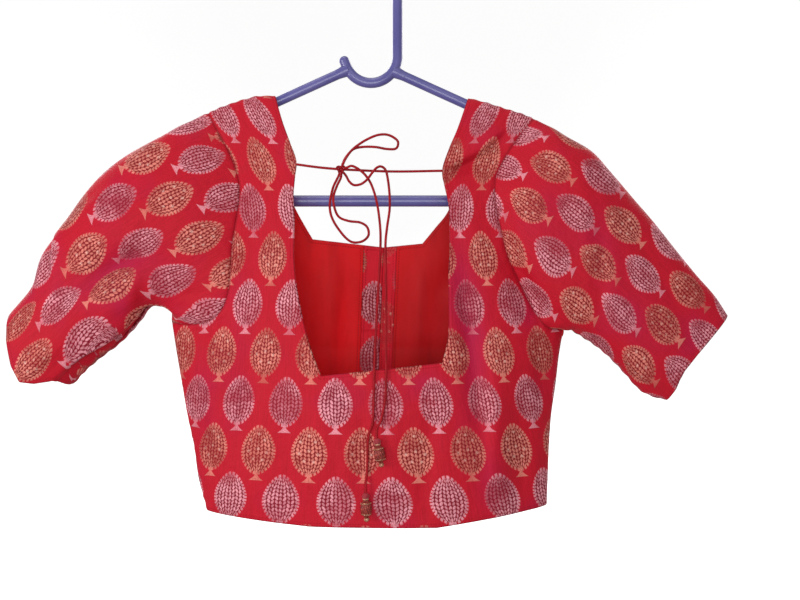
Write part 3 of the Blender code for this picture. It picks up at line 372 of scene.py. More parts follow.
# How far below a strap's end its last rows lie, in rows of its table.
SHOULDER_STEPS = (
    0.93, 0.86, 0.79, 0.72, 0.65, 0.58, 0.51, 0.44, 0.37, 0.3, 0.235, 0.18, 0.13, 0.085, 0.05, 0.02, 0,
)
SLEEVE_RINGS = 11  # of cells to each ring of a table
FLAT_COLUMNS = 49  # of a sleeve that are laid flat, with the others between them
FLAT_ROUNDS = 800
FLAT_DRAG = 0.96  # what is left of each point's drift after a round
FLAT_PUSH = 0.1  # the share of a link's wrong length that a round takes away
WAY_REACH = 12  # columns that the cloth's local way across is measured over
UNDERSIDE_TURN = 0.40  # from here to the seam the pattern runs straight on
ARMPIT_DIP = 14.0
DIP_ROWS = 1.4
DIP_SHARE = 0.2
ARC_STEP = 1.0  # grid on which the cloth's own lengths are worked out
MAP_X = (-216.0, 216.1)
MAP_Z = (-512.0, -84.9)
MAP_EDGE = 1.001  # a little over one cell, so that each place has a next cell
WELD_DIGITS = 2
WELD_SHIFT = 0.00317  # keeps round numbers off the edges of the weld's steps
CORD_SIDES = 14
HANGER_SIDES = 32
CORD_STEP = 0.8
HANGER_STEP = 3.0
BEND_POINTS = 28
NOTCH_POINTS = 60
HOOK_POINTS = 80
TIP_POINTS = 8
FLARE_POINTS = 24
ROUTE_STEPS = 60
FIRST_NORMAL = (0.3, 1.0, 0.2)  # along no tube
CAP_SHARES = (0.0, 0.12, 0.3, 0.55, 0.8)  # of the way from a rounded end's tip to the tube
CAP_TIP = 0.03

# ---------------------------------------------------------------- the latkans
# The latkan's parts from the cord down: each from one share of its length to another, as radii at even
# places along it, with its material (0 thread, 1 gilt thread, 2 gilt bead) and how many flutes it has.
LATKAN_PARTS = [
    (0.0, 0.2, (1.3, 2.6, 3.1, 2.9, 1.9), 0, 0),
    (0.17, 0.245, (2.1, 2.7, 2.7, 2.1), 2, 0),
    (0.23, 0.345, (2.0, 2.4, 3.2, 3.9), 1, 12),
    (0.335, 0.385, (3.9, 4.4, 4.4, 3.9), 2, 0),
    (0.37, 0.72, (3.9, 4.3, 4.5, 4.5, 4.3, 4.0), 1, 16),
    (0.71, 0.76, (3.8, 4.2, 4.2, 3.6), 2, 0),
    (0.75, 0.86, (3.5, 2.9, 2.0, 1.3), 1, 12),
    (0.85, 1.0, (1.0, 2.1, 2.4, 2.1, 1.0), 2, 0),
]
LATKAN_RINGS = 6  # of points to each radius
LATKAN_SIDES = 32  # and twice as many where it is fluted
FLUTE_DEPTH = 0.07  # as a share of the radius
PART_END_RADIUS = 0.3  # each part is closed to this radius
PART_END_STEP = 1e-3
GILT_BEAD = 2
# The share of the latkan's length where a circle of beads lies, and its radius.
BEAD_CIRCLES = [(0.36, 4.25), (0.735, 4.1)]
BEAD_COUNT = 18
BEAD_RADIUS = 0.5
BEAD_RINGS = 7
BEAD_SIDES = 8
BEAD_POLE = 0.12  # the angle from a bead's pole to its first ring

# ---------------------------------------------------------------- the woven tree
CROWN_HALF_WIDTH = 15.0
CROWN_HALF_HEIGHT = 21.0
EGG = 0.005  # how fast the crown narrows upwards
TAPER = 0.2  # how much it narrows at both ends, past an ellipse
LEAF_COLUMNS = 9.0
LEAF_PITCH = 3.4
LEAF_RISE = 2.0
LEAF_THIN = 1.2
RIM_LEAVES = 34
FOOT_TOP = -20.2
FOOT_BASE = -26.8
FOOT_HALF_WIDTH = 6.4
STEM_HALF_WIDTH = 0.9
# Painted glints: bright spots painted among a gold tree's leaves, about its middle, where its thread
# catches the light.
GLINT_SPOTS = [
    (-7.5, 8.5), (5.5, 9.0), (0.0, 1.0), (-8.5, -1.5), (7.8, -2.0), (-4.0, -8.0), (4.2, -8.5), (0.0, 14.0),
]
GLINT_RADIUS = 1.3

# ---------------------------------------------------------------- threads and stitches
WARP_PITCH = 0.62
WEFT_PITCH = 0.48
TWILL_PITCH = 0.7
THREAD_HEIGHT = 0.02
STITCH_AWAY = 2.6  # from the finished edge
STITCH_PITCH = 2.6

# ---------------------------------------------------------------- colours
GROUND = (0.54, 0.0085, 0.024)
GROUND_MAGENTA = (0.46, 0.010, 0.056)
GROUND_PAINTED_LIT = (0.84, 0.018, 0.040)
SILVER = (0.90, 0.36, 0.42)
SILVER_DULL = (0.50, 0.080, 0.120)
SILVER_CROWN = (0.14, 0.008, 0.020)
GOLD = (0.82, 0.25, 0.20)
GOLD_DULL = (0.47, 0.082, 0.066)
GOLD_CROWN = (0.15, 0.009, 0.009)
GLINT = (0.96, 0.54, 0.45)
STITCH = (0.36, 0.004, 0.012)
SEAM_SHADE = (0.16, 0.004, 0.010)
# The satin's colours are painted brighter than the satin, as painted light for the dim inside of the
# blouse.
SATIN_DEEP = (0.83, 0.0070, 0.012)
SATIN_LIGHT = (0.92, 0.0095, 0.016)
SATIN_STITCH = (0.34, 0.003, 0.008)
CORD_DEEP = (0.28, 0.0055, 0.011)
CORD_LIGHT = (0.40, 0.009, 0.0165)
SILK_DEEP = (0.20, 0.004, 0.010)
SILK_LIGHT = (0.48, 0.012, 0.030)
GILT_THREAD_DEEP = (0.20, 0.010, 0.009)
GILT_THREAD_WORN = (0.42, 0.050, 0.030)
GILT_BEAD_DEEP = (0.42, 0.15, 0.08)
GILT_BEAD_WORN = (0.88, 0.52, 0.34)
VIOLET_DEEP = (0.085, 0.078, 0.27)
VIOLET_LIGHT = (0.120, 0.108, 0.32)
VIOLET_SCRATCH = (0.30, 0.27, 0.60)
PAPER_DEEP = (0.90, 0.90, 0.90)
PAPER_LIGHT = (0.93, 0.93, 0.93)

# ---------------------------------------------------------------- the studio
CAMERA_PLACE = (26.2, -950.0, -304.1)
CAMERA_LENS = 47.33
SENSOR_WIDTH = 36
CLIP_END = 50  # in metres
AIM = (5.0, 0.0, -310.0)
# Soft studio lamps: place, size, power in watts.
LAMPS = {
    "front": ((-100, -1200, -350), 700, 5.6),
    "left": ((-1200, -900, -300), 700, 8.5),
    "right": ((450, -1350, 900), 800, 2.0),
    "top": ((-200, -100, 1500), 1200, 8.0),
    "back_left": ((-1100, 1400, 500), 1400, 16.0),
    "back_right": ((1200, 1300, 300), 1400, 14.0),
}
WORLD_STRENGTH = 0.42
FLOOR_Z = -720.0
FLOOR_RADII = (1.0, 700.0, 1500.0)
COVE_RADIUS = 1300.0
COVE_RINGS = 20
WALL_TOP = 3000.0
BACKDROP_SIDES = 96


# ================================================================ curves through the tables


def curve(rows, t):
    """Points of the smooth curve through a table's rows, for each t in rows from its start."""
    rows = np.asarray(rows)
    t = np.atleast_1d(np.asarray(t, float))
    i = np.clip(np.floor(t).astype(int), 0, len(rows) - 2)
    u = (t - i).reshape(-1, *[1] * (rows.ndim - 1))
    longer = np.concatenate([2 * rows[:1] - rows[1:2], rows, 2 * rows[-1:] - rows[-2:-1]])
    before, a, b, after = (longer[i + k] for k in range(4))
    bend = before - 2.5 * a + 2 * b - 0.5 * after
    return a + 0.5 * u * (b - before) + u * u * bend + 0.5 * u**3 * (3 * (a - b) + after - before)


def split_curve(rows, t, corner):
    """The same, smooth on each side of the row at the corner and sharp at it."""
    rows = np.asarray(rows, float)
    low = curve(rows[: corner + 1], np.minimum(t, corner))
    high = curve(rows[corner:], np.maximum(t, corner) - corner)
    return np.where((t <= corner)[:, None], low, high)


def read(table, value, key, column):
    """A column of a table, read where its key column has these values."""
    table = np.asarray(table, float)
    table = table[np.argsort(table[:, key])]
    return np.interp(value, table[:, key], table[:, column])


def smooth_step(value, low, high):
    """0 up to low, 1 from high, and smooth between."""
    u = np.clip((np.asarray(value, float) - low) / (high - low), 0, 1)
    return u * u * (3 - 2 * u)


def power(value, exponent):
    """The value's size to this power, with its own sign."""
    return np.sign(value) * np.abs(value) ** exponent


def run_lengths(points):
    """How far along a run of points each one lies."""
    points = np.asarray(points, float)
    return np.concatenate([[0], np.cumsum(np.linalg.norm(np.diff(points, axis=0), axis=1))])


def along(points, step):
    """The same run as even points about this far apart."""
    lengths = run_lengths(points)
    count = max(int(round(lengths[-1] / step)), 2)
    wanted = np.linspace(0, lengths[-1], count + 1)
    return np.stack([np.interp(wanted, lengths, np.asarray(points)[:, k]) for k in range(3)], axis=1)


def as_ways(vectors):
    """The same vectors, each of length 1."""
    return vectors / np.maximum(np.linalg.norm(vectors, axis=-1, keepdims=True), TINY)


# ================================================================ the form of the body


def creases(rows, x, z):
    """For each row of folds, painted sheen or tucks: its amount as it fades along its way at each point,
    how far aside of the way the point lies, and the row's two spreads."""
    for from_x, from_z, to_x, to_z, spread_a, spread_b, amount in rows:
        run_x, run_z = to_x - from_x, to_z - from_z
        share = ((x - from_x) * run_x + (z - from_z) * run_z) / (run_x**2 + run_z**2)
        aside = (run_x * (z - from_z) - run_z * (x - from_x)) / math.hypot(run_x, run_z)
        fade = np.cos(math.pi / (1 + 2 * FADE) * (np.clip(share, -FADE, 1 + FADE) - 0.5)) ** 2
        yield amount * fade, aside, spread_a, spread_b


def fold_height(folds, x, z):
    """How far the folds lift the cloth at each point."""
    return sum(
        amount * np.exp(-((aside / np.where(aside > 0, spread_a, spread_b)) ** 2))
        for amount, aside, spread_a, spread_b in creases(folds, x, z)
    )


def tucked(tucks, x, z):
    """How much cloth is tucked away above each point."""
    return sum(
        amount * smooth_step(aside, -spread_b, spread_a)
        for amount, aside, spread_a, spread_b in creases(tucks, x, z)
    )


def body_y(x, z, side, folded=True):
    """Depth of the body's middle surface: side is -1 on the back and +1 on the fronts."""
    left, right, back, front = (read(SECTIONS, z, 0, k) for k in range(1, 5))
    across = np.minimum(np.abs(2 * (x - (left + right) / 2) / (right - left)), 1)
    full, fullness, folds = (
        (back, BACK_FULLNESS, BACK_FOLDS) if side < 0 else (front, FRONT_FULLNESS, FRONT_FOLDS)
    )
    deep = full * (1 - across**fullness) ** SIDE_ROUNDING
    if folded:
        deep = np.maximum(deep + fold_height(folds, x, z) * np.minimum(1, deep / SHALLOW), LEAST_DEPTH)
    drop = np.maximum(read(RIDGE, x, 0, 1) - z, 0)
    fold = np.maximum(np.sqrt(2 * SHOULDER_ROUNDING * drop) + SHOULDER_SPREAD * drop, LEAST_DEPTH)
    with np.errstate(divide="ignore"):
        return side * (deep**-BLEND + fold**-BLEND) ** (-1 / BLEND)


def body_rows(start, end, cells, side, crowd=1.0, dip=0.0):
    """Rows of points across the body, from each start to each end, given across and up."""
    share = (np.arange(cells + 1) / cells) ** crowd
    bump = share / DIP_SHARE * np.exp(1 - share / DIP_SHARE) * (1 - share)
    x = start[:, :1] + (end - start)[:, :1] * share
    z = start[:, 1:] + (end - start)[:, 1:] * share - np.reshape(dip, (-1, 1)) * bump
    return np.stack([x, body_y(x, z, side), z], axis=-1)


def strap_rows(table, t, outer, inner, side, dip, seam):
    """Rows up a strap from its outer edge to the neck, bent at the top to end along the shoulder."""
    rows = body_rows(outer, inner, SIDE_CELLS, side, CROWDING, dip)
    rows[seam, 0, 1] = 0
    last = len(table) - 1
    start, end = np.reshape(table[-1], (2, 2)).astype(float)
    share = (np.arange(SIDE_CELLS + 1) / SIDE_CELLS) ** CROWDING
    top = start + (end - start) * share[:, None]
    near = t > last - 1
    weight = smooth_step(t, last - 1, last)[near, None]
    rows[near, :, 2] += (read(RIDGE, top[:, 0], 0, 1) - top[:, 1]) * weight
    rows[near, :, 1] = body_y(rows[near, :, 0], rows[near, :, 2], side)
    rows[t >= last, :, 1] = 0
    return rows


def dip_at(t, armpit):
    """How far the rows dip below the armpit, which is at this row."""
    return ARMPIT_DIP * np.exp(-(((t - armpit) / DIP_ROWS) ** 2))


def even_rows(first, last):
    """Even row places from one row of a table to another."""
    return np.linspace(first, last, int(round((last - first) * ROWS)) + 1)


def strap_row_places(first, rows):
    """Row places up a strap: even to the last row but one, then crowded towards the fold."""
    return np.concatenate([even_rows(first, rows - 2), rows - 1 - np.array(SHOULDER_STEPS)])


class LengthMap:
    """How far each place on the body is over the cloth: across from MIDDLE_X, and up from the hem."""

    def __init__(self, side):
        self.painted_sheen = BACK_PAINTED_SHEEN if side < 0 else FRONT_PAINTED_SHEEN
        self.x = np.arange(*MAP_X, ARC_STEP)
        self.z = np.arange(*MAP_Z, ARC_STEP)
        y = body_y(self.x[None], self.z[:, None], side, False)
        across = np.cumsum(np.hypot(ARC_STEP, np.diff(y, axis=1, prepend=y[:, :1])), axis=1)
        middle = np.searchsorted(self.x, MIDDLE_X)
        self.across = across - across[:, middle : middle + 1]
        self.up = np.cumsum(np.hypot(ARC_STEP, np.diff(y, axis=0, prepend=y[:1])), axis=0)

    def at(self, x, z):
        """The place over the cloth of these places on the body."""
        column = np.clip((x - self.x[0]) / ARC_STEP, 0, len(self.x) - MAP_EDGE)
        row = np.clip((z - self.z[0]) / ARC_STEP, 0, len(self.z) - MAP_EDGE)
        i, j = row.astype(int), column.astype(int)
        u, v = row - i, column - j
        found = []
        for table in (self.across, self.up):
            low, high = (table[i + k, j] * (1 - v) + table[i + k, j + 1] * v for k in (0, 1))
            found.append(low * (1 - u) + high * u)
        return np.stack(found, axis=-1)


def with_cloth(rows, lengths):
    """Rows of body points with their place over the cloth."""
    x, z = rows[..., 0], rows[..., 2]
    tint = fold_height(lengths.painted_sheen, x, z)
    return np.concatenate([rows, lengths.at(x, z), tint[..., None]], axis=-1)


# ================================================================ shells of cloth


def welded(points):
    """The first of each set of points that lie together, and each point's place among those."""
    _, first, index = np.unique(
        np.round(points + WELD_SHIFT, WELD_DIGITS), axis=0, return_index=True, return_inverse=True
    )
    return first, index.reshape(-1)


class Shell:
    """One piece of cloth: a welded grid of its middle surface, with its finished edges and seams.

    Each grid holds rows of points. Each point is x, y, z, its place over the cloth and its tint."""

    def __init__(self, name, grids, finished=(), seams=()):
        self.name = name
        points, quads, start = [], [], 0
        for grid, flip in grids:
            rows, columns = grid.shape[:2]
            ids = start + np.arange(rows * columns).reshape(rows, columns)
            ring = np.stack([ids[:-1, :-1], ids[:-1, 1:], ids[1:, 1:], ids[1:, :-1]], axis=-1)
            quads.append(ring.reshape(-1, 4)[:, :: -1 if flip else 1])
            points.append(grid.reshape(-1, 6))
            start += rows * columns
        points = np.concatenate(points)
        first, index = welded(points[:, :3])
        self.points = points[first, :3]
        self.cloth = points[first, 3:]
        self.quads = index[np.concatenate(quads)]
        self.finished = [np.asarray(line)[:, :3] for line in finished]
        self.seams = [np.asarray(line)[:, :3] for line in seams]

    def normals(self):
        """The outward way at each point, longer where its quads are larger."""
        corners = self.points[self.quads]
        face = np.cross(corners[:, 2] - corners[:, 0], corners[:, 3] - corners[:, 1])
        total = np.zeros_like(self.points)
        for k in range(4):
            np.add.at(total, self.quads[:, k], face)
        return total

    def rim(self):
        """The edges that only one quad uses, in its order."""
        pairs = np.concatenate([self.quads[:, [k, (k + 1) % 4]] for k in range(4)])
        _, index, count = np.unique(np.sort(pairs, axis=1), axis=0, return_inverse=True, return_counts=True)
        return pairs[count[index.reshape(-1)] == 1]

    def area(self):
        """In square metres."""
        a, b, c, d = (self.points[self.quads[:, k]] for k in range(4))
        return 0.5 * np.linalg.norm(np.cross(c - a, d - b), axis=1).sum() * MM * MM


def shared_normals(shells):
    """The outward way at every point, the same for all the shells that meet there."""
    normals = np.concatenate([shell.normals() for shell in shells])
    first, index = welded(np.concatenate([shell.points for shell in shells]))
    total = np.zeros((len(first), 3))
    np.add.at(total, index, normals)
    cuts = np.cumsum([len(shell.points) for shell in shells])[:-1]
    return np.split(as_ways(total)[index], cuts)


def tree_of(points):
    """A tree that finds the nearest of these points."""
    tree = KDTree(len(points))
    for i, point in enumerate(points):
        tree.insert(point, i)
    tree.balance()
    return tree


def line_distance(points, lines):
    """For each point, its distance to the nearest line and how far along that line it is."""
    if not lines:
        far = np.full(len(points), FAR)
        return far, far * 0
    dense = [along(line, LINE_STEP) for line in lines]
    lengths = np.concatenate([run_lengths(line) for line in dense])
    tree = tree_of(np.concatenate(dense))
    found = [tree.find(point)[1:] for point in points]
    return np.array([f[1] for f in found]), lengths[[f[0] for f in found]]


def add_object(name, data):
    """An object of this data, in the scene."""
    obj = bpy.data.objects.new(name, data)
    bpy.context.scene.collection.objects.link(obj)
    return obj


def add_mesh(name, points, faces, materials, slots=None, known=None):
    """A smooth mesh object from points in millimetres, with what its materials know at each point."""
    mesh = bpy.data.meshes.new(name)
    mesh.from_pydata((np.asarray(points) * MM).tolist(), [], [list(map(int, face)) for face in faces])
    for material in materials:
        mesh.materials.append(material)
    if slots is not None:
        mesh.polygons.foreach_set("material_index", np.asarray(slots, np.int32))
    mesh.polygons.foreach_set("use_smooth", [True] * len(mesh.polygons))
    for key, value in (known or {}).items():
        attribute = mesh.attributes.new(key, "FLOAT_VECTOR", "POINT")
        attribute.data.foreach_set("vector", np.asarray(value, np.float32).ravel())
    mesh.update()
    return add_object(name, mesh)


def take_place(obj, node):
    """The piece takes its node's place in the frame."""
    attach(obj, "root")
    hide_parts(node)


def add_shell(shell, normals, thickness, materials, lift=0.0, settle=True):
    """The thin closed wall of a shell: its outside, its inside and a rounded edge between them."""
    edge, run = line_distance(shell.points, shell.finished)
    seam, seam_run = line_distance(shell.points, shell.seams)
    middle = shell.points + normals * lift
    if settle:
        draw_in = SEAM_DEPTH * np.exp(-((seam / SEAM_SPREAD) ** 2))
        wander = PUCKER_WANDER * np.sin(seam_run / WANDER_PITCH)
        pucker = np.sin(seam_run * TAU / PUCKER_PITCH + wander)
        pucker *= PUCKER_HEIGHT * np.exp(-(((seam - PUCKER_SPREAD / 2) / PUCKER_SPREAD) ** 2))
        pucker *= smooth_step(seam, 0, PUCKER_SPREAD / 2)
        middle = middle + normals * (pucker - draw_in)[:, None]
    rim = shell.rim()
    rim_a, rim_b = rim.T
    out = np.zeros_like(middle)
    way = as_ways(np.cross(shell.points[rim_b] - shell.points[rim_a], normals[rim_a]))
    np.add.at(out, rim_a, way)
    np.add.at(out, rim_b, way)
    count = len(middle)
    on_rim = np.unique(rim)
    place = np.zeros(count, int)
    place[on_rim] = 2 * count + np.arange(len(on_rim))
    points = np.concatenate([
        middle + normals * thickness / 2,
        middle - normals * thickness / 2,
        (middle + as_ways(out) * EDGE_ROUNDING)[on_rim],
    ])
    outer_rim = np.stack([rim_b, rim_a, place[rim_a], place[rim_b]], axis=1)
    inner_rim = np.stack([place[rim_b], place[rim_a], rim_a + count, rim_b + count], axis=1)
    faces = np.concatenate([shell.quads, shell.quads[:, ::-1] + count, outer_rim, inner_rim])
    slots = np.zeros(len(faces), int)
    slots[len(shell.quads) : 2 * len(shell.quads)] = len(materials) - 1
    known = {"cloth": shell.cloth, "edges": np.column_stack([edge, run, seam])}
    known = {key: np.concatenate([value, value, value[on_rim]]) for key, value in known.items()}
    return add_mesh(shell.name, points, faces, materials, slots, known)


# ================================================================ the pieces of the blouse


def back_shell():
    """The back, full width below the neck and with a strap each side of it, and its two armholes."""
    lengths = LengthMap(-1)
    below, armpit = len(BACK_LOW) - 1, BACK_ARMPIT_ROW
    t = even_rows(0, below)
    side, neck = curve(SIDES, t), curve(BACK_LOW, t)
    dip = dip_at(t, below + armpit)
    left, right = (body_rows(side[:, k], neck[:, k], SIDE_CELLS, -1, CROWDING, dip) for k in (LEFT, RIGHT))
    middle = body_rows(neck[:, LEFT], neck[:, RIGHT], NECK_CELLS, -1)
    left[:, 0, 1] = right[:, 0, 1] = 0
    low = np.concatenate([left, middle[:, 1:-1], right[:, ::-1]], axis=1)
    grids = [(with_cloth(low, lengths), False)]
    seams, armholes, necks = [], [], []
    for table, columns, end in ((BACK_STRAP_LEFT, LEFT, 0), (BACK_STRAP_RIGHT, RIGHT, -1)):
        t = np.unique(np.concatenate([even_rows(0, armpit), strap_row_places(armpit, len(table))]))
        inner = curve(np.asarray(table, float)[:, 2:], t)
        hole = split_curve(table, t, armpit)[:, :2]
        sides = curve(SIDES, np.minimum(below + t, len(SIDES) - 1))[:, columns]
        outer = np.where((t <= armpit)[:, None], sides, hole)
        rows = strap_rows(table, t, outer, inner, -1, dip_at(t, armpit), t <= armpit)
        grids.append((with_cloth(rows, lengths), end != 0))
        armholes.append(rows[t >= armpit, 0])
        seams += [np.concatenate([low[:, end], rows[t <= armpit, 0]]), armholes[-1], rows[-1]]
        necks.append(rows[:, -1])
    neck_edge = np.concatenate([necks[0][::-1], middle[-1], necks[1]])
    return Shell("back_cloth", grids, [low[0], neck_edge], seams), armholes


def front_shells(side):
    """One front, its lining, the strip inside its edge, and its armhole."""
    low, strap, columns, hand = FRONTS[side]
    lengths = LengthMap(1)
    armpit = FRONT_ARMPIT_ROW
    # Below the neck: from the side seam, past the middle, to the strip, the edge and the lap.
    t = even_rows(0, len(low) - 1)
    row = curve(low, t)
    sides = curve(SIDES, np.minimum(t, armpit))[:, columns]
    outer = np.where((t <= armpit)[:, None], sides, split_curve(low, t, armpit)[:, :2])
    edge = read(OPENING, row[:, 4], 1, 0)
    strip_x = edge - EYE_STRIP if hand > 0 else edge + HOOK_STRIP
    free = edge if hand > 0 else edge - LAP
    share = (strip_x - row[:, 2]) / (edge - row[:, 2])
    strip_z = row[:, 3] + (row[:, 4] - row[:, 3]) * share
    middle, strip = row[:, 2:4], np.stack([strip_x, strip_z], axis=1)
    end, lap = np.stack([edge, row[:, 4]], axis=1), np.stack([free, row[:, 4]], axis=1)
    parts = [
        body_rows(outer, middle, SIDE_CELLS, 1, CROWDING, dip_at(t, armpit)),
        body_rows(middle, strip, FRONT_CELLS, 1)[:, 1:],
        body_rows(strip, end, STRIP_CELLS, 1)[:, 1:],
    ]
    parts[0][t <= armpit, 0, 1] = 0
    if hand < 0:
        parts.append(body_rows(end, lap, STRIP_CELLS, 1)[:, 1:])
    rows = np.concatenate(parts, axis=1)
    past = hand * (rows[..., 0] - edge[:, None])
    lapped = LAP if hand > 0 else 0
    rows[..., 1] -= hand * LAP_STEP * smooth_step(past, -lapped - LAP_EASE[0], -lapped - LAP_EASE[1])

    # Above it, the strap.
    t_strap = np.unique(np.concatenate([[0], strap_row_places(0, len(strap))]))
    strap_row = curve(strap, t_strap)
    dip = dip_at(t_strap, armpit - len(low) + 1)
    no_seam = np.zeros(len(t_strap), bool)
    up = strap_rows(strap, t_strap, strap_row[:, :2], strap_row[:, 2:], 1, dip, no_seam)

    armhole = np.concatenate([rows[t >= armpit, 0], up[1:, 0]])
    neck = np.concatenate([rows[-1, SIDE_CELLS:][::-1], up[:, -1]])
    flip = hand > 0
    start = SIDE_CELLS + FRONT_CELLS
    stop = start + STRIP_CELLS
    cloth_rows, cloth_up = with_cloth(rows, lengths), with_cloth(up, lengths)
    lining_up = cloth_up[t_strap <= len(strap) - 1 - SHOULDER_STEPS[0]]
    front = Shell(
        "front_cloth_" + side, [(cloth_rows, flip), (cloth_up, flip)], [rows[0], rows[:, -1], neck],
        [rows[t <= armpit, 0], armhole, up[-1]],
    )
    lining = Shell(
        "lining_cloth_" + side, [(cloth_rows[:, : start + 1], flip), (lining_up, flip)],
        [rows[0, :start], neck, rows[:, start]],
    )
    facing = Shell(
        STRIP_NODES[side] + "_cloth", [(cloth_rows[:, start : stop + 1], flip)],
        [rows[0, start:stop], rows[:, start], rows[:, stop], rows[-1, start:stop]],
    )
    return front, lining, facing, armhole


def laid_flat(rings, turns):
    """Opens a tube's rings along its seam and lays them flat, each length kept as nearly as it can be."""
    shares = np.linspace(-0.5, 0.5, FLAT_COLUMNS)
    net = np.array([[np.interp(shares, turns, axis) for axis in ring.T] for ring in rings])
    net = net.transpose(0, 2, 1)
    every, first, last = slice(None), slice(-1), slice(1, None)
    links = (((first, every), (last, every)), ((every, first), (every, last)))
    links += (((first, first), (last, last)), ((first, last), (last, first)))
    spans = [np.linalg.norm(net[b] - net[a], axis=2) for a, b in links]
    across = np.cumsum(np.pad(spans[1], ((0, 0), (1, 0))), axis=1)
    across -= across[:, [FLAT_COLUMNS // 2]]
    up = np.cumsum(np.pad(spans[0], ((0, 1), (0, 0)))[::-1], axis=0)[::-1]
    flat = across + 1j * up
    drift = np.zeros_like(flat)
    for _ in range(FLAT_ROUNDS):
        drift *= FLAT_DRAG
        for (a, b), span in zip(links, spans):
            gap = flat[b] - flat[a]
            push = gap * (FLAT_PUSH - FLAT_PUSH * span / np.abs(gap))
            drift[a] += push
            drift[b] -= push
        flat += drift
    return np.array([np.interp(turns, shares, row) for row in flat])


def on_sleeve(amounts, rows, t, turns):
    """What a sleeve's folds, painted sheen or tucks come to at its points, with all lengths in millimetres.
    """
    size = np.array([RING_STEP, TURN_LENGTH, RING_STEP, TURN_LENGTH, 1, 1, 1])
    return amounts(np.array(rows) * size, t[:, None] * RING_STEP, turns[None] * TURN_LENGTH)


def sleeve_shell(side, back_armhole, front_armhole):
    """A tube from the armhole to the cuff, laid out from its seam below, over the top, to the seam."""
    table, folds, tucks, painted_sheen = SLEEVES[side]
    head = np.concatenate([front_armhole, back_armhole[::-1][1:]])
    front_share, back_share = (
        run_lengths(hole) / run_lengths(hole)[-1] for hole in (front_armhole, back_armhole[::-1])
    )
    turns = np.concatenate([-0.5 + 0.5 * front_share, 0.5 * back_share[1:]])
    rings = [head]
    for top_x, top_z, low_x, low_z, back, fore, swept in table:
        way = np.array([top_z - low_z, low_x - top_x]) * math.copysign(1, top_x)
        way /= np.linalg.norm(way)
        up, out = (power(f(TAU * turns), RING_SQUARENESS) for f in (np.cos, np.sin))
        on_back = (out > 0) * swept * read(SWEEP_SHAPE, (1 - up) / 2, 0, 1)
        x = (top_x + low_x) / 2 + up * (top_x - low_x) / 2 + way[0] * on_back
        z = (top_z + low_z) / 2 + up * (top_z - low_z) / 2 + way[1] * on_back
        rings.append(np.stack([x, -out * np.where(out > 0, back, fore), z], axis=1))
    # Half way down, the first ring follows the armhole's curve, so that the rings stay evenly apart.
    middle = np.sin(TAU * turns)[:, None] ** 2
    rings[1][:, ::2] += ((rings[0] + rings[2])[:, ::2] / 2 - rings[1][:, ::2]) * middle
    rings = np.array(rings)
    t = np.linspace(0, len(table), len(table) * SLEEVE_RINGS + 1)
    grid = curve(rings, t)
    flat = curve(laid_flat(rings, turns), t)
    # Near the seam, the pattern runs straight on from the underside.
    for turned, net, order in ((flat, grid, turns), (flat[:, ::-1], grid[:, ::-1], -turns[::-1])):
        under = np.searchsorted(order, UNDERSIDE_TURN)
        way = turned[:, under] - turned[:, under - WAY_REACH]
        rest = np.cumsum(np.linalg.norm(np.diff(net[:, under:], axis=1), axis=2), axis=1)
        turned[:, under + 1:] = turned[:, [under]] + rest * (way / abs(way))[:, None]
    # The tucks slip the pattern along the cloth's own way across, and the folds lift the cloth.
    columns = np.arange(len(turns))
    after, before = np.minimum(columns + WAY_REACH, columns[-1]), np.maximum(columns - WAY_REACH, 0)
    way = flat[:, after] - flat[:, before]
    flat = flat + on_sleeve(tucked, tucks, t, turns) * way / abs(way)
    lift = on_sleeve(fold_height, folds, t, turns) * smooth_step(t, 0, FOLD_START)[:, None]
    tint = on_sleeve(fold_height, painted_sheen, t, turns)
    out = grid - grid.mean(axis=1, keepdims=True)
    grid = grid + lift[..., None] * out / np.linalg.norm(out, axis=2, keepdims=True)
    cloth = np.concatenate([grid, np.stack([flat.real, flat.imag, tint], axis=2)], axis=2)
    return Shell("sleeve_cloth_" + side, [(cloth, side == "left")], [grid[-1]], [grid[0], grid[:, 0]])


# ================================================================ tubes


def loops_between(ids):
    """Quads from each ring of points to the next."""
    low, high = ids[:-1], ids[1:]
    return np.stack([low, np.roll(low, -1, 1), np.roll(high, -1, 1), high], axis=-1).reshape(-1, 4)


def sweep(points, radii, sides, flutes=0):
    """Rings of a tube along the points, in a frame that doesn't twist, closed at both ends."""
    points = np.asarray(points, float)
    radii = np.broadcast_to(radii, len(points))
    ways = np.gradient(points, axis=0)
    ways /= np.linalg.norm(ways, axis=1, keepdims=True)
    normal = np.array(FIRST_NORMAL)
    angles = np.linspace(0, TAU, sides, endpoint=False)
    shape = (1 + (FLUTE_DEPTH if flutes else 0) * np.cos(flutes * angles))[:, None]
    rings = []
    for point, way, radius in zip(points, ways, radii):
        normal = normal - way * (normal @ way)
        normal /= np.linalg.norm(normal)
        ring = np.cos(angles)[:, None] * normal + np.sin(angles)[:, None] * np.cross(way, normal)
        rings.append(point + ring * shape * radius)
    ids = np.arange(len(points) * sides).reshape(-1, sides)
    faces = loops_between(ids).tolist() + [ids[0, ::-1].tolist(), ids[-1].tolist()]
    run, around = np.repeat(run_lengths(points), sides), np.tile(angles, len(points))
    known = np.column_stack([run, around, 0 * run])
    return np.array(rings).reshape(-1, 3), faces, known


def rounded_ends(points, radius, cap):
    """A run of points with a few more at each end, and radii that close it in a dome."""
    points = np.asarray(points, float)
    shares = np.array(CAP_SHARES)
    first, last = as_ways(points[1] - points[0]), as_ways(points[-1] - points[-2])
    start = [points[0] - first * radius * cap * (1 - share) for share in shares]
    end = [points[-1] + last * radius * cap * (1 - share) for share in shares[::-1]]
    dome = np.sqrt(1 - (1 - shares) ** 2) * (1 - CAP_TIP) + CAP_TIP
    radii = np.concatenate([dome, np.ones(len(points)), dome[::-1]]) * radius
    return np.concatenate([start, points, end]), radii


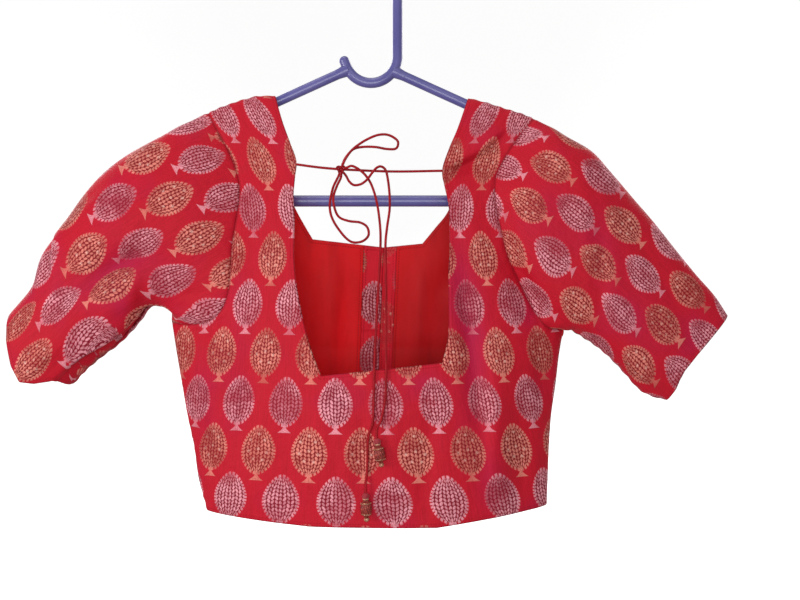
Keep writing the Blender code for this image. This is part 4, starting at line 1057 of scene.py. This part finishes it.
def join_parts(parts):
    """Several meshes given as points, faces, known and material place, as one."""
    points, faces, known, slots, start = [], [], [], [], 0
    for part_points, part_faces, part_known, slot in parts:
        points.append(part_points)
        known.append(part_known)
        faces += [[i + start for i in face] for face in part_faces]
        slots += [slot] * len(part_faces)
        start += len(part_points)
    return np.concatenate(points), faces, np.concatenate(known), slots


# ================================================================ materials


def connect(tree, value, slot):
    """Feeds a node's input from a field or a socket, or sets it to a plain value."""
    value = value.socket if isinstance(value, Field) else value
    if isinstance(value, bpy.types.NodeSocket):
        tree.links.new(value, slot)
    else:
        slot.default_value = value


def new_node(tree, kind, inputs, **settings):
    """A shader node with these settings, and a field, a socket or a plain value on each of these inputs."""
    node = tree.nodes.new("ShaderNode" + kind)
    for key, value in settings.items():
        setattr(node, key, value)
    for key, value in inputs.items():
        connect(tree, value, node.inputs[key])
    return node


def adds(kind):
    """A method that adds a Math node of this kind."""
    return lambda self, *others: self.math(kind, *others)


class Field:
    """A number that varies over a surface: a node's output, with arithmetic that adds nodes."""

    def __init__(self, tree, socket):
        self.tree = tree
        self.socket = socket

    def math(self, kind, *others):
        node = new_node(self.tree, "Math", dict(enumerate((self, *others))), operation=kind)
        return Field(self.tree, node.outputs[0])

    __add__ = __radd__ = adds("ADD")
    __sub__ = adds("SUBTRACT")
    __mul__ = __rmul__ = adds("MULTIPLY")
    __truediv__ = adds("DIVIDE")
    __abs__ = adds("ABSOLUTE")
    floor = adds("FLOOR")
    fract = adds("FRACT")
    sqrt = adds("SQRT")
    sin = adds("SINE")
    least = adds("MINIMUM")
    most = adds("MAXIMUM")

    def __neg__(self):
        return self * -1.0

    def __rsub__(self, other):
        return -self + other

    def squared(self):
        return self * self

    def rise(self, low, high):
        """0 up to low, 1 from high, and smooth between. With low above high it falls."""
        inputs = {"Value": self, "From Min": low, "From Max": high}
        node = new_node(self.tree, "MapRange", inputs, interpolation_type="SMOOTHSTEP")
        return Field(self.tree, node.outputs["Result"])

    def from_middle(self):
        """0 in the middle of each whole step and 1 at its ends."""
        return abs(self.fract() - 0.5) * 2.0


class Surface:
    """A material of nodes round one Principled shader."""

    def __init__(self, name, **settings):
        self.material = bpy.data.materials.new(name)
        self.material.use_nodes = True
        self.tree = self.material.node_tree
        self.shader = self.tree.nodes["Principled BSDF"]
        for key, value in settings.items():
            self.shader.inputs[key.replace("_", " ")].default_value = value

    def known(self, name):
        """The three numbers known at each point under this name."""
        node = new_node(self.tree, "Attribute", {}, attribute_name=name)
        parts = new_node(self.tree, "SeparateXYZ", {0: node.outputs["Vector"]})
        return [Field(self.tree, output) for output in parts.outputs]

    def vector(self, *fields):
        return new_node(self.tree, "CombineXYZ", dict(enumerate(fields))).outputs[0]

    def noise(self, vector, scale=1.0, detail=2.0):
        node = new_node(self.tree, "TexNoise", {"Vector": vector, "Scale": scale, "Detail": detail})
        return Field(self.tree, node.outputs["Fac"])

    def chance(self, *fields):
        """A different number from 0 to 1 for each set of whole numbers."""
        node = new_node(self.tree, "TexWhiteNoise", {"Vector": self.vector(*fields)}, noise_dimensions="3D")
        return Field(self.tree, node.outputs["Value"])

    def place(self):
        """The point on the object, in millimetres."""
        point = new_node(self.tree, "TexCoord", {}).outputs["Object"]
        return new_node(self.tree, "VectorMath", {0: point, "Scale": 1 / MM}, operation="SCALE").outputs[0]

    def mix(self, share, first, second):
        """A colour between two, by this share of the second."""
        first, second = ((*value, 1) if isinstance(value, tuple) else value for value in (first, second))
        return new_node(self.tree, "Mix", {0: share, 6: first, 7: second}, data_type="RGBA").outputs[2]

    def shade(self, colour, share, strength):
        """The colour made darker by this share of strength."""
        return self.mix(share * strength, colour, (0.0, 0.0, 0.0))

    def finish(self, colour, roughness=None, metallic=None, height=None):
        """Links what varies to the shader. height is in millimetres."""
        if height is not None:
            inputs = {"Strength": 1.0, "Distance": MM, "Height": height}
            height = new_node(self.tree, "Bump", inputs).outputs[0]
        varying = {"Base Color": colour, "Roughness": roughness, "Metallic": metallic, "Normal": height}
        for key, value in varying.items():
            if value is not None:
                connect(self.tree, value, self.shader.inputs[key])
        return self.material


def tree_masks(surface, x, y, column, row):
    """Where the woven tree's leaves, crown and foot are, from a point's place about its middle."""
    level = y / CROWN_HALF_HEIGHT
    half = (1.0 - y * EGG) * (1.0 - level.squared() * TAPER).most(0.5) * CROWN_HALF_WIDTH
    reach = ((x / half).squared() + level.squared()).sqrt()
    tooth = (x.math("ARCTAN2", y) * (RIM_LEAVES / TAU)).from_middle()
    crown = (reach + tooth * 0.08).rise(1.04, 0.97)

    wide = half * (1.0 - level.squared()).most(0.25).sqrt()
    place = abs(x) / wide * (LEAF_COLUMNS / 2) + 0.5
    vein = place.floor()
    side = vein + x.rise(-0.1, 0.1) * 20.0 + column * 17.0
    slant = (vein / 2.0).from_middle() * 2.0 - 1.0
    along = place - vein - 0.5
    shift = surface.chance(side, row, 9.0)
    step = (y + slant * along * LEAF_RISE) / LEAF_PITCH + shift * 0.6
    luck = surface.chance(step.floor() + row * 31.0, side, 3.0)
    grain = ((along * 2.0).squared() * LEAF_THIN + step.from_middle().squared()).sqrt()
    leaf = (grain - luck * 0.18).rise(0.98, 0.52) * reach.rise(0.96, 0.90)
    rim = reach.rise(0.88, 0.93) * reach.rise(1.07, 1.01) * tooth.rise(0.80, 0.45)
    leaf = leaf.most(rim * 0.95) * (luck * 0.45 + 0.55)

    drop = (FOOT_TOP - y) * (1 / (FOOT_TOP - FOOT_BASE))
    spread = drop.most(0.0).math("POWER", 2.0) * (FOOT_HALF_WIDTH - STEM_HALF_WIDTH) + STEM_HALF_WIDTH
    foot = (spread - abs(x)).rise(-0.25, 0.45) * drop.rise(-0.6, -0.3) * drop.rise(1.04, 0.96)
    return leaf, crown, foot


def weave(across, up):
    """The cloth's threads, as a height in millimetres."""
    return (across * (TAU / WARP_PITCH)).sin() * (up * (TAU / WEFT_PITCH)).sin() * THREAD_HEIGHT


def stitches(edge, run):
    """A line of stitches along a finished edge, 1 on the thread."""
    dash = (run / STITCH_PITCH).from_middle().rise(0.75, 0.55)
    return abs(edge - STITCH_AWAY).rise(0.45, 0.2) * dash


def brocade_material():
    """Crimson silk with rows of silver and gold trees, half a tree out of step with each other."""
    surface = Surface(
        "brocade", Sheen_Weight=0.015, Sheen_Roughness=0.45, Sheen_Tint=(1.0, 0.40, 0.5, 1.0),
        Specular_IOR_Level=0.12,
    )
    across, up, tint = surface.known("cloth")
    edge, run, seam = surface.known("edges")
    flat = surface.vector(across, up, 0.0)
    cloud = surface.noise(surface.place(), 0.022)
    streak = surface.noise(surface.vector(across * 0.9, up * 0.05, 0.0))
    patch = surface.noise(surface.place(), 0.035)
    fine = surface.noise(flat, 0.9)
    # A tint above 0 paints the silk magenta and its threads dull, as painted sheen and shade. One below it
    # paints the silk brighter, as painted light, and from -1 to -2 it takes the woven trees away.
    painted_lit = (-tint).most(0.0).least(1.0)
    woven = 1.0 - (-1.0 - tint).most(0.0).least(1.0)
    tint = tint.most(0.0).least(1.0)
    colour = surface.mix((cloud.rise(0.48, 0.72) * 0.3 + tint * 0.9).least(1.0), GROUND, GROUND_MAGENTA)
    colour = surface.mix(painted_lit, colour, GROUND_PAINTED_LIT)
    height = None
    for kind, offset_across, offset_up, dark, dull, thread in (
        (1.0, 0.0, 0.0, SILVER_CROWN, SILVER_DULL, SILVER),
        (2.0, MOTIF_ACROSS / 2, MOTIF_UP / 2, GOLD_CROWN, GOLD_DULL, GOLD),
    ):
        place_across = (across - offset_across) / MOTIF_ACROSS + 0.5
        place_up = (up - offset_up) / MOTIF_UP + 0.5
        column, row = place_across.floor(), place_up.floor()
        x = (place_across - column - 0.5) * MOTIF_ACROSS
        y = (place_up - row - 0.5) * MOTIF_UP
        leaf, crown, foot = (mask * woven for mask in tree_masks(surface, x, y, column, row))
        luck = surface.chance(column, row, kind)
        # Painted sheen: how brightly each tree's threads shine, at random and in soft patches, and painted
        # duller along the lines of painted sheen.
        shine = (luck * 0.35 + patch.rise(0.36, 0.60) * 0.6 + 0.25 - tint * 0.5).most(0.08).least(1.0)
        base = crown * (0.86 - (y / CROWN_HALF_HEIGHT).rise(0.55, 1.05) * 0.45)
        colour = surface.mix(base * (shine * 0.25 + 0.62), colour, dark)
        bright = surface.mix((shine * (fine.rise(0.3, 0.7) * 0.5 + 0.7)).least(1.0), dull, thread)
        colour = surface.mix((leaf * (shine * 0.45 + 0.75)).least(1.0), colour, bright)
        if thread == GOLD:
            # Painted glints of light on the gold thread.
            for centre_x, centre_y in GLINT_SPOTS:
                gap = ((x - centre_x).squared() + (y - centre_y).squared()).sqrt()
                spot = gap.rise(GLINT_RADIUS + 0.5, GLINT_RADIUS - 0.6)
                colour = surface.mix(spot * (shine * 0.55 + 0.15) * fine.rise(0.25, 0.6), colour, GLINT)
        colour = surface.mix(foot * (shine * 0.3 + 0.55), colour, bright)
        rise = leaf.most(foot) * 0.18 + crown * 0.05
        height = rise if height is None else height.most(rise)
    sewn = stitches(edge, run)
    colour = surface.mix(sewn * 0.6, colour, STITCH)
    colour = surface.shade(colour, streak.rise(0.35, 0.75), 0.14)
    colour = surface.shade(colour, fine.rise(0.62, 0.35), 0.08)
    # Painted shade: the cloth darkened along each seam, where its groove lies in shade.
    colour = surface.mix(seam.rise(2.0, 0.3) * 0.45, colour, SEAM_SHADE)
    # Painted shade: darker within a millimetre of a finished edge, where the cloth rolls over.
    colour = surface.shade(colour, edge.rise(0.9, 0.1), 0.25)
    rough = 0.56 + (patch - 0.5) * 0.12
    bump = height + weave(across, up) + sewn * 0.12 - abs(edge - STITCH_AWAY).rise(1.1, 0.2) * 0.10
    bump = bump + surface.noise(flat, 0.12, 3.0) * 0.8 + surface.noise(flat, 0.45) * 0.12
    return surface.finish(colour, rough, height * 1.2, bump)


def lining_material():
    """Plain red satin with a fine twill and a few soft creases, with painted shade in long soft streaks, on
    its right and at its edges, and painted light overall.
    """
    surface = Surface(
        "lining", Sheen_Weight=0.04, Sheen_Roughness=0.4, Sheen_Tint=(1.0, 0.3, 0.3, 1.0),
        Specular_IOR_Level=0.15,
    )
    across, up, _ = surface.known("cloth")
    edge, run, _ = surface.known("edges")
    cloud = surface.noise(surface.vector(across * 0.03, up * 0.012, 5.0), 1.0, 3.0)
    slub = surface.noise(surface.vector(across * 0.15, up * 2.2, 2.0))
    streak = surface.noise(surface.vector(across * 0.055, up * 0.007, 9.0))
    colour = surface.mix(cloud.rise(0.3, 0.7), SATIN_DEEP, SATIN_LIGHT)
    # Painted light and shade: the lining's right is painted darker than its left, as if its left caught
    # more light.
    colour = surface.shade(colour, across.rise(-20.0, 65.0), 0.42)
    # Painted shade: long soft streaks darkened, for the shade of the drape's creases.
    colour = surface.shade(colour, streak.rise(0.42, 0.66), 0.20)
    colour = surface.shade(colour, slub.rise(0.45, 0.8), 0.08)
    sewn = stitches(edge, run)
    colour = surface.mix(sewn * 0.7, colour, SATIN_STITCH)
    # Painted shade: darker within a millimetre of a finished edge, where the cloth rolls over.
    colour = surface.shade(colour, edge.rise(1.2, 0.1), 0.15)
    twill = ((across + up) * (TAU / TWILL_PITCH)).sin() * THREAD_HEIGHT
    height = twill + cloud * 1.1 + sewn * 0.1 - abs(edge - STITCH_AWAY).rise(1.0, 0.2) * 0.10
    return surface.finish(colour, 0.36 + cloud * 0.14, None, height)


def cord_material():
    """Dark red cord: a bias-cut tube of satin, with its slanting weave and a seam that winds slowly."""
    surface = Surface("cord", Sheen_Weight=0.02, Sheen_Tint=(1.0, 0.2, 0.2, 1.0), Specular_IOR_Level=0.12)
    run, angle, _ = surface.known("tube")
    slant = (angle * 3.0 + run * (TAU / 2.4)).sin()
    cross = (angle * 5.0 - run * (TAU / 1.3)).sin()
    seam = (angle + run * (TAU / 95.0)).sin().rise(0.972, 0.995)
    cloud = surface.noise(surface.vector(run * 0.09, angle * 0.3, 0.0))
    colour = surface.mix(cloud.rise(0.3, 0.7), CORD_DEEP, CORD_LIGHT)
    # Painted shade: darker between the slanting ribs of the weave and along the seam's groove.
    colour = surface.shade(colour, slant.rise(0.2, 1.0), 0.30)
    colour = surface.shade(colour, seam, 0.4)
    height = slant * 0.035 + cross * 0.02 - seam * 0.08
    return surface.finish(colour, 0.45 + cloud * 0.15, None, height)


def thread_material():
    """Silk thread wound round a latkan's head."""
    surface = Surface("latkan_thread", Sheen_Weight=0.2, Specular_IOR_Level=0.45)
    run, angle, _ = surface.known("tube")
    wound = (run * (TAU / 0.42) + angle).sin()
    # Painted shade and sheen: each wrap painted dark in the groove beside it and bright on its crest.
    colour = surface.mix(wound.rise(-0.6, 0.9), SILK_DEEP, SILK_LIGHT)
    return surface.finish(colour, 0.42 + wound * 0.05, None, wound * 0.05)


def gilt_material(name, base, worn, metallic):
    """Gilt thread or bead, darker in its hollows and rubbed bright where it stands out."""
    surface = Surface(name, Specular_IOR_Level=0.5)
    run, angle, _ = surface.known("tube")
    grain = surface.noise(surface.place(), 0.8, 3.0)
    ribs = (angle * 12.0 + run * 1.1).sin()
    colour = surface.mix(grain.rise(0.35, 0.7), base, worn)
    colour = surface.shade(colour, ribs.rise(0.1, -0.9), 0.45)
    metal = grain.rise(0.1, 0.5) * metallic
    return surface.finish(colour, 0.30 + grain * 0.25, metal, ribs * 0.08 + grain * 0.05)


def hanger_material():
    """Glossy violet plastic with faint moulding ripples, fine scratches and slight clouding."""
    surface = Surface("hanger_plastic", Specular_IOR_Level=0.5, Coat_Weight=0.25, Coat_Roughness=0.12)
    place = surface.place()
    cloud = surface.noise(place, 0.03, 3.0)
    speck = surface.noise(place, 1.6)
    run, angle, _ = surface.known("tube")
    scratch = surface.noise(surface.vector(run * 0.12, angle * 9.0, 0.0), 1.0, 3.0)
    colour = surface.mix(cloud.rise(0.3, 0.7), VIOLET_DEEP, VIOLET_LIGHT)
    colour = surface.mix(scratch.rise(0.64, 0.80) * 0.25, colour, VIOLET_SCRATCH)
    rough = 0.24 + cloud * 0.10 + scratch.rise(0.5, 0.8) * 0.16
    return surface.finish(colour, rough, None, cloud * 0.8 + speck * 0.012 + scratch * 0.02)


def backdrop_material():
    """Matt pale paper, lit from behind, with the faint mottle that paper has."""
    surface = Surface("backdrop_paper", Specular_IOR_Level=0.0, Roughness=1.0, Emission_Strength=0.5)
    mottle = surface.noise(surface.place(), 0.004, 3.0)
    return surface.finish(surface.mix(mottle, PAPER_DEEP, PAPER_LIGHT))


# ================================================================ the studio


def camera():
    """The photograph's view: level, square on, and a little right of the blouse's middle."""
    data = bpy.data.cameras.new("camera")
    data.sensor_width = SENSOR_WIDTH
    data.lens = CAMERA_LENS
    data.clip_end = CLIP_END
    obj = add_object("camera", data)
    obj.location = np.array(CAMERA_PLACE) * MM
    obj.rotation_euler = (math.pi / 2, 0, 0)
    bpy.context.scene.camera = obj


def lamps():
    """Soft studio lamps turned to the blouse, and a white world."""
    for name, (place, size, power) in LAMPS.items():
        data = bpy.data.lights.new(name, "AREA")
        data.shape = "DISK"
        data.size = size * MM
        data.energy = power
        obj = add_object(name, data)
        obj.location = np.array(place) * MM
        way = (Vector(AIM) - Vector(place)).normalized()
        obj.rotation_euler = way.to_track_quat("-Z", "Y").to_euler()
    world = bpy.data.worlds.new("studio")
    world.use_nodes = True
    background = world.node_tree.nodes["Background"]
    background.inputs["Color"].default_value = (1.0, 1.0, 1.0, 1)
    background.inputs["Strength"].default_value = WORLD_STRENGTH
    bpy.context.scene.world = world
    bpy.context.scene.view_settings.view_transform = "Standard"


def backdrop():
    """A round sweep of pale paper: the floor, a cove and a wall on every side."""
    cove = np.linspace(0, math.pi / 2, COVE_RINGS)[1:]
    rings = [(radius, 0.0) for radius in FLOOR_RADII]
    rings += [(FLOOR_RADII[-1] + COVE_RADIUS * math.sin(a), COVE_RADIUS * (1 - math.cos(a))) for a in cove]
    rings.append((rings[-1][0], WALL_TOP - FLOOR_Z))
    angles = np.linspace(0, TAU, BACKDROP_SIDES, endpoint=False)
    circle = [(math.cos(angle), math.sin(angle)) for angle in angles]
    points = [(radius * x, radius * y, FLOOR_Z + up) for radius, up in rings for x, y in circle]
    ids = np.arange(len(points)).reshape(len(rings), -1)
    faces = loops_between(ids).tolist() + [ids[0, ::-1].tolist()]
    obj = add_mesh("backdrop", points, faces, [backdrop_material()])
    obj.visible_shadow = False
    obj.visible_diffuse = False
    obj.visible_glossy = False


# ================================================================ the cord and its latkans


def clear_of_knot(point):
    """Over 1 where a cord's point is clear of the knot."""
    return np.linalg.norm((np.asarray(point) - KNOT) / np.array(KNOT_RADII))


def cord_line(route):
    """Even points along the smooth curve through a route, cut back to just inside the knot."""
    fine = curve(route, np.linspace(0, len(route) - 1, ROUTE_STEPS * len(route)))
    while clear_of_knot(fine[0]) < KNOT_INSIDE:
        fine = fine[1:]
    while clear_of_knot(fine[-1]) < KNOT_INSIDE:
        fine = fine[:-1]
    return along(fine, CORD_STEP)


def lying(route, lift):
    """Points on the outside of the back panel."""
    return [(x, float(body_y(np.array([x]), np.array([z]), -1)[0]) - lift, z) for x, z in route]


def add_cord(name, node, route, material):
    """A cord along its route."""
    line = cord_line(route)
    points, faces, known = sweep(*rounded_ends(line, CORD_RADIUS, CORD_CAP), CORD_SIDES)
    obj = add_mesh(name, points, faces, [material], None, {"tube": known})
    take_place(obj, node)


def ball(centre, radius):
    """A small bead as points, faces and what is known at them."""
    angles = np.linspace(BEAD_POLE, math.pi - BEAD_POLE, BEAD_RINGS)
    line = np.asarray(centre) + np.stack([0 * angles, 0 * angles, radius * np.cos(angles)], axis=1)
    return sweep(line, radius * np.sin(angles), BEAD_SIDES)


def add_latkan(node, materials):
    """A turned and gilded ornament on the end of a cord: thread head, cap, barrel, beads and tip."""
    head, tip = (np.array(point) for point in lying(TASSEL_ENDS[node], TASSEL_LIFT))
    parts = []
    for first, last, radii, slot, flutes in LATKAN_PARTS:
        shares = np.linspace(0, len(radii) - 1, LATKAN_RINGS * len(radii))
        smooth = curve(np.array(radii, float)[:, None], shares)[:, 0]
        smooth = np.pad(smooth, 1, constant_values=PART_END_RADIUS)
        places = np.linspace(first, last, len(shares))
        places = np.concatenate([[first - PART_END_STEP], places, [last + PART_END_STEP]])
        line = head + (tip - head) * places[:, None]
        parts.append((*sweep(line, smooth, LATKAN_SIDES * (2 if flutes else 1), flutes), slot))
    way = as_ways(tip - head)
    aside = as_ways(np.cross(way, (0, 1, 0)))
    other = np.cross(way, aside)
    for share, radius in BEAD_CIRCLES:
        for angle in np.linspace(0, TAU, BEAD_COUNT, endpoint=False):
            out = math.cos(angle) * aside + math.sin(angle) * other
            centre = head + (tip - head) * share + radius * out
            parts.append((*ball(centre, BEAD_RADIUS), GILT_BEAD))
    points, faces, known, slots = join_parts(parts)
    obj = add_mesh(node + "_latkan", points, faces, materials, slots, {"tube": known})
    take_place(obj, node)
    return obj, head


def add_knot(material):
    """The knot of the bow, as a small overhand turn of the same cord."""
    t = np.linspace(0, TAU, KNOT_POINTS)
    x, z = np.sin(t) + 2 * np.sin(2 * t), np.cos(t) - 2 * np.cos(2 * t)
    turns = np.stack([x, KNOT_DEPTH * np.sin(3 * t), z], axis=1)
    points, faces, known = sweep(np.array(KNOT) + turns * KNOT_SCALE, CORD_RADIUS, CORD_SIDES)
    obj = add_mesh("bow_knot_turns", points, faces, [material], None, {"tube": known})
    take_place(obj, "bow_knot")
    return obj


def add_cords(material, latkan_materials):
    """The knot, the ties from the straps to it, the bow's two loops, and the tails with their latkans."""
    knot = np.array(KNOT)
    for side, table, row, hand, sag, piece in (
        ("left", BACK_STRAP_LEFT, TIE_ROW_LEFT, 1, TIE_SAG / 3, add_knot(material)),
        ("right", BACK_STRAP_RIGHT, TIE_ROW_RIGHT, -1, TIE_SAG, None),
    ):
        x, z = curve(np.asarray(table, float)[:, 2:], row)[0]
        sewn = np.array([x + hand * KNOT_REACH, body_y(np.array([x]), np.array([z]), -1)[0], z])
        route = [sewn, (sewn + knot) / 2 - (0, 0, sag), knot]
        add_cord("tie_cord_" + side, "tie_" + side, route, material)
    for which, way in (("upper", BOW_UPPER), ("lower", BOW_LOWER)):
        route = [KNOT, *way, KNOT]
        add_cord("bow_cord_" + which, "bow_loop_" + which, route, material)
    for which, free, lie in (
        ("long", TAIL_LONG_FREE, TAIL_LONG_LYING), ("short", TAIL_SHORT_FREE, TAIL_SHORT_LYING),
    ):
        latkan, head = add_latkan("tassel_" + which, latkan_materials)
        route = [KNOT, *free, *lying(lie, CORD_LIFT), *(head + step for step in TAIL_END_STEPS)]
        add_cord("tail_cord_" + which, "tail_" + which, route, material)


# ================================================================ the hanger


def arc(centre_x, centre_z, radius, start, end, count):
    """Points along an arc of the hanger's plane, as tuples."""
    angles = np.linspace(start, end, count)
    return [(centre_x + radius * math.cos(a), 0.0, centre_z + radius * math.sin(a)) for a in angles]


def add_hanger(material):
    """Two sloping arms and a bar in one loop, with the notch, stem and hook welded on top."""
    slope = math.tan(ARM_SLOPE)
    meet_x = (APEX_Z - BAR_Z) / slope
    share = math.tan(ARM_SLOPE / 2)
    bend_radius = (meet_x - HALF_SPAN) * share / (1 - share)
    bend_z = BAR_Z + bend_radius
    bend_ends = math.pi / 2 - ARM_SLOPE, -math.pi / 2
    bend = arc(HALF_SPAN - bend_radius, bend_z, bend_radius, *bend_ends, BEND_POINTS)
    right, left = (
        [(APEX_X + hand * x, y, z) for x, y, z in [(reach, 0, APEX_Z - reach * slope)] + bend]
        for hand, reach in ((1, JOINT_X[1] - APEX_X), (-1, JOINT_X[0] + APEX_X))
    )
    loop = along(np.array(right + left[::-1]), HANGER_STEP)
    radii = np.interp(loop[:, 2], [BAR_Z, bend_z + bend_radius], [BAR_RADIUS, ARM_RADIUS])
    notch = arc(0, NOTCH_Z, HOOK_RADIUS, TIP_ANGLE, TAU, NOTCH_POINTS)
    away = np.array([math.sin(TIP_ANGLE), 0, -math.cos(TIP_ANGLE)])
    steps = np.linspace(TIP_LENGTH, TIP_START, TIP_POINTS)
    stem = [tuple(np.array(notch[0]) + away * step) for step in steps] + notch
    stem += arc(0, STEM_RADIUS - HOOK_RADIUS, HOOK_RADIUS, 0, HOOK_OPENING, HOOK_POINTS)[1:]
    tubes = [(loop, radii), rounded_ends(stem, STEM_RADIUS, HOOK_CAP)]
    for x, _, z in (right[0], left[0]):
        way = np.array([math.copysign(1, x), 0, -slope]) / math.hypot(1, slope)
        line = np.array([x, 0, z]) + way * np.linspace(0, FLARE_LENGTH, FLARE_POINTS)[:, None]
        tubes.append((line, ARM_RADIUS + FLARE * np.cos(np.linspace(0, math.pi / 2, FLARE_POINTS)) ** 2))
    points, faces, known, slots = join_parts([(*sweep(*tube, HANGER_SIDES), 0) for tube in tubes])
    obj = add_mesh("hanger_moulding", points, faces, [material], slots, {"tube": known})
    take_place(obj, "hanger")


# ================================================================ the blouse


def lay_pattern(shell, node):
    """Moves the woven pattern to where it lies on this piece, leaning as its cloth hangs."""
    across, stretch, lean, bend, spread, up, tilt, bow, fan = PATTERN[node]
    u, v = shell.cloth[:, 0].copy(), shell.cloth[:, 1].copy()
    shell.cloth[:, 0] = u * (1 + stretch) + across + (lean + bend * v / 100 + spread * u / 100) * v
    shell.cloth[:, 1] = v + up + (tilt + bow * u / 100 + fan * v / 100) * u
    if node == "eye_strip":
        shell.cloth[:, 1] -= JOIN_STEP * (shell.points[:, 2] < JOIN_Z)
    if node == "back_panel":
        shell.cloth[:, 0] -= STRAP_FLARE * np.sign(u) * (np.maximum(v - FLARE_UP, 0) / 100) ** 2


def add_cloth(shell, normals, thickness, materials, node, lift=0.0, settle=True):
    """A piece of cloth in its node's place, with its area printed."""
    obj = add_shell(shell, normals, thickness, materials, lift, settle)
    take_place(obj, node)
    print(f"{shell.name}: {shell.area():.4f} square metres, {len(obj.data.polygons) * 2} triangles")


def add_blouse(brocade, lining):
    """The outer pieces, sewn to each other, then the lining and the strip that lie inside each front."""
    back, holes = back_shell()
    fronts = {side: front_shells(side) for side in FRONTS}
    outer = {"back_panel": back}
    outer |= {"front_" + side: shells[0] for side, shells in fronts.items()}
    for side, hole in zip(FRONTS, holes):
        outer["sleeve_" + side] = sleeve_shell(side, hole, fronts[side][-1])
    normals = dict(zip(outer, shared_normals(outer.values())))
    for node, shell in outer.items():
        lay_pattern(shell, node)
        add_cloth(shell, normals[node], CLOTH, [brocade, lining], node)
    for side, (front, inner, strip, _) in fronts.items():
        lay_pattern(strip, STRIP_NODES[side])
        strip.cloth[:, 2] = STRIP_TINT[side]
        if side == "left":
            strip.cloth[abs(strip.points[:, 2] - JOIN_Z) < JOIN_BARE, 2] = BARE_TINT
        tree = tree_of(front.points)
        for sheet, thickness, material, node, slot_name, lift in (
            (inner, LINING, lining, "lining_" + side, "lining", -LINING_LIFT),
            (strip, CLOTH, brocade, STRIP_NODES[side], "brocade", -STRIP_LIFT),
        ):
            own = normals["front_" + side][[tree.find(point)[1] for point in sheet.points]]
            add_cloth(sheet, own, thickness, [material], node, lift, False)


camera()
add_cords(cord_material(), [
    thread_material(),
    gilt_material("latkan_gilt_thread", GILT_THREAD_DEEP, GILT_THREAD_WORN, 0.25),
    gilt_material("latkan_gilt_bead", GILT_BEAD_DEEP, GILT_BEAD_WORN, 0.6),
])
add_blouse(brocade_material(), lining_material())
add_hanger(hanger_material())
backdrop()
lamps()
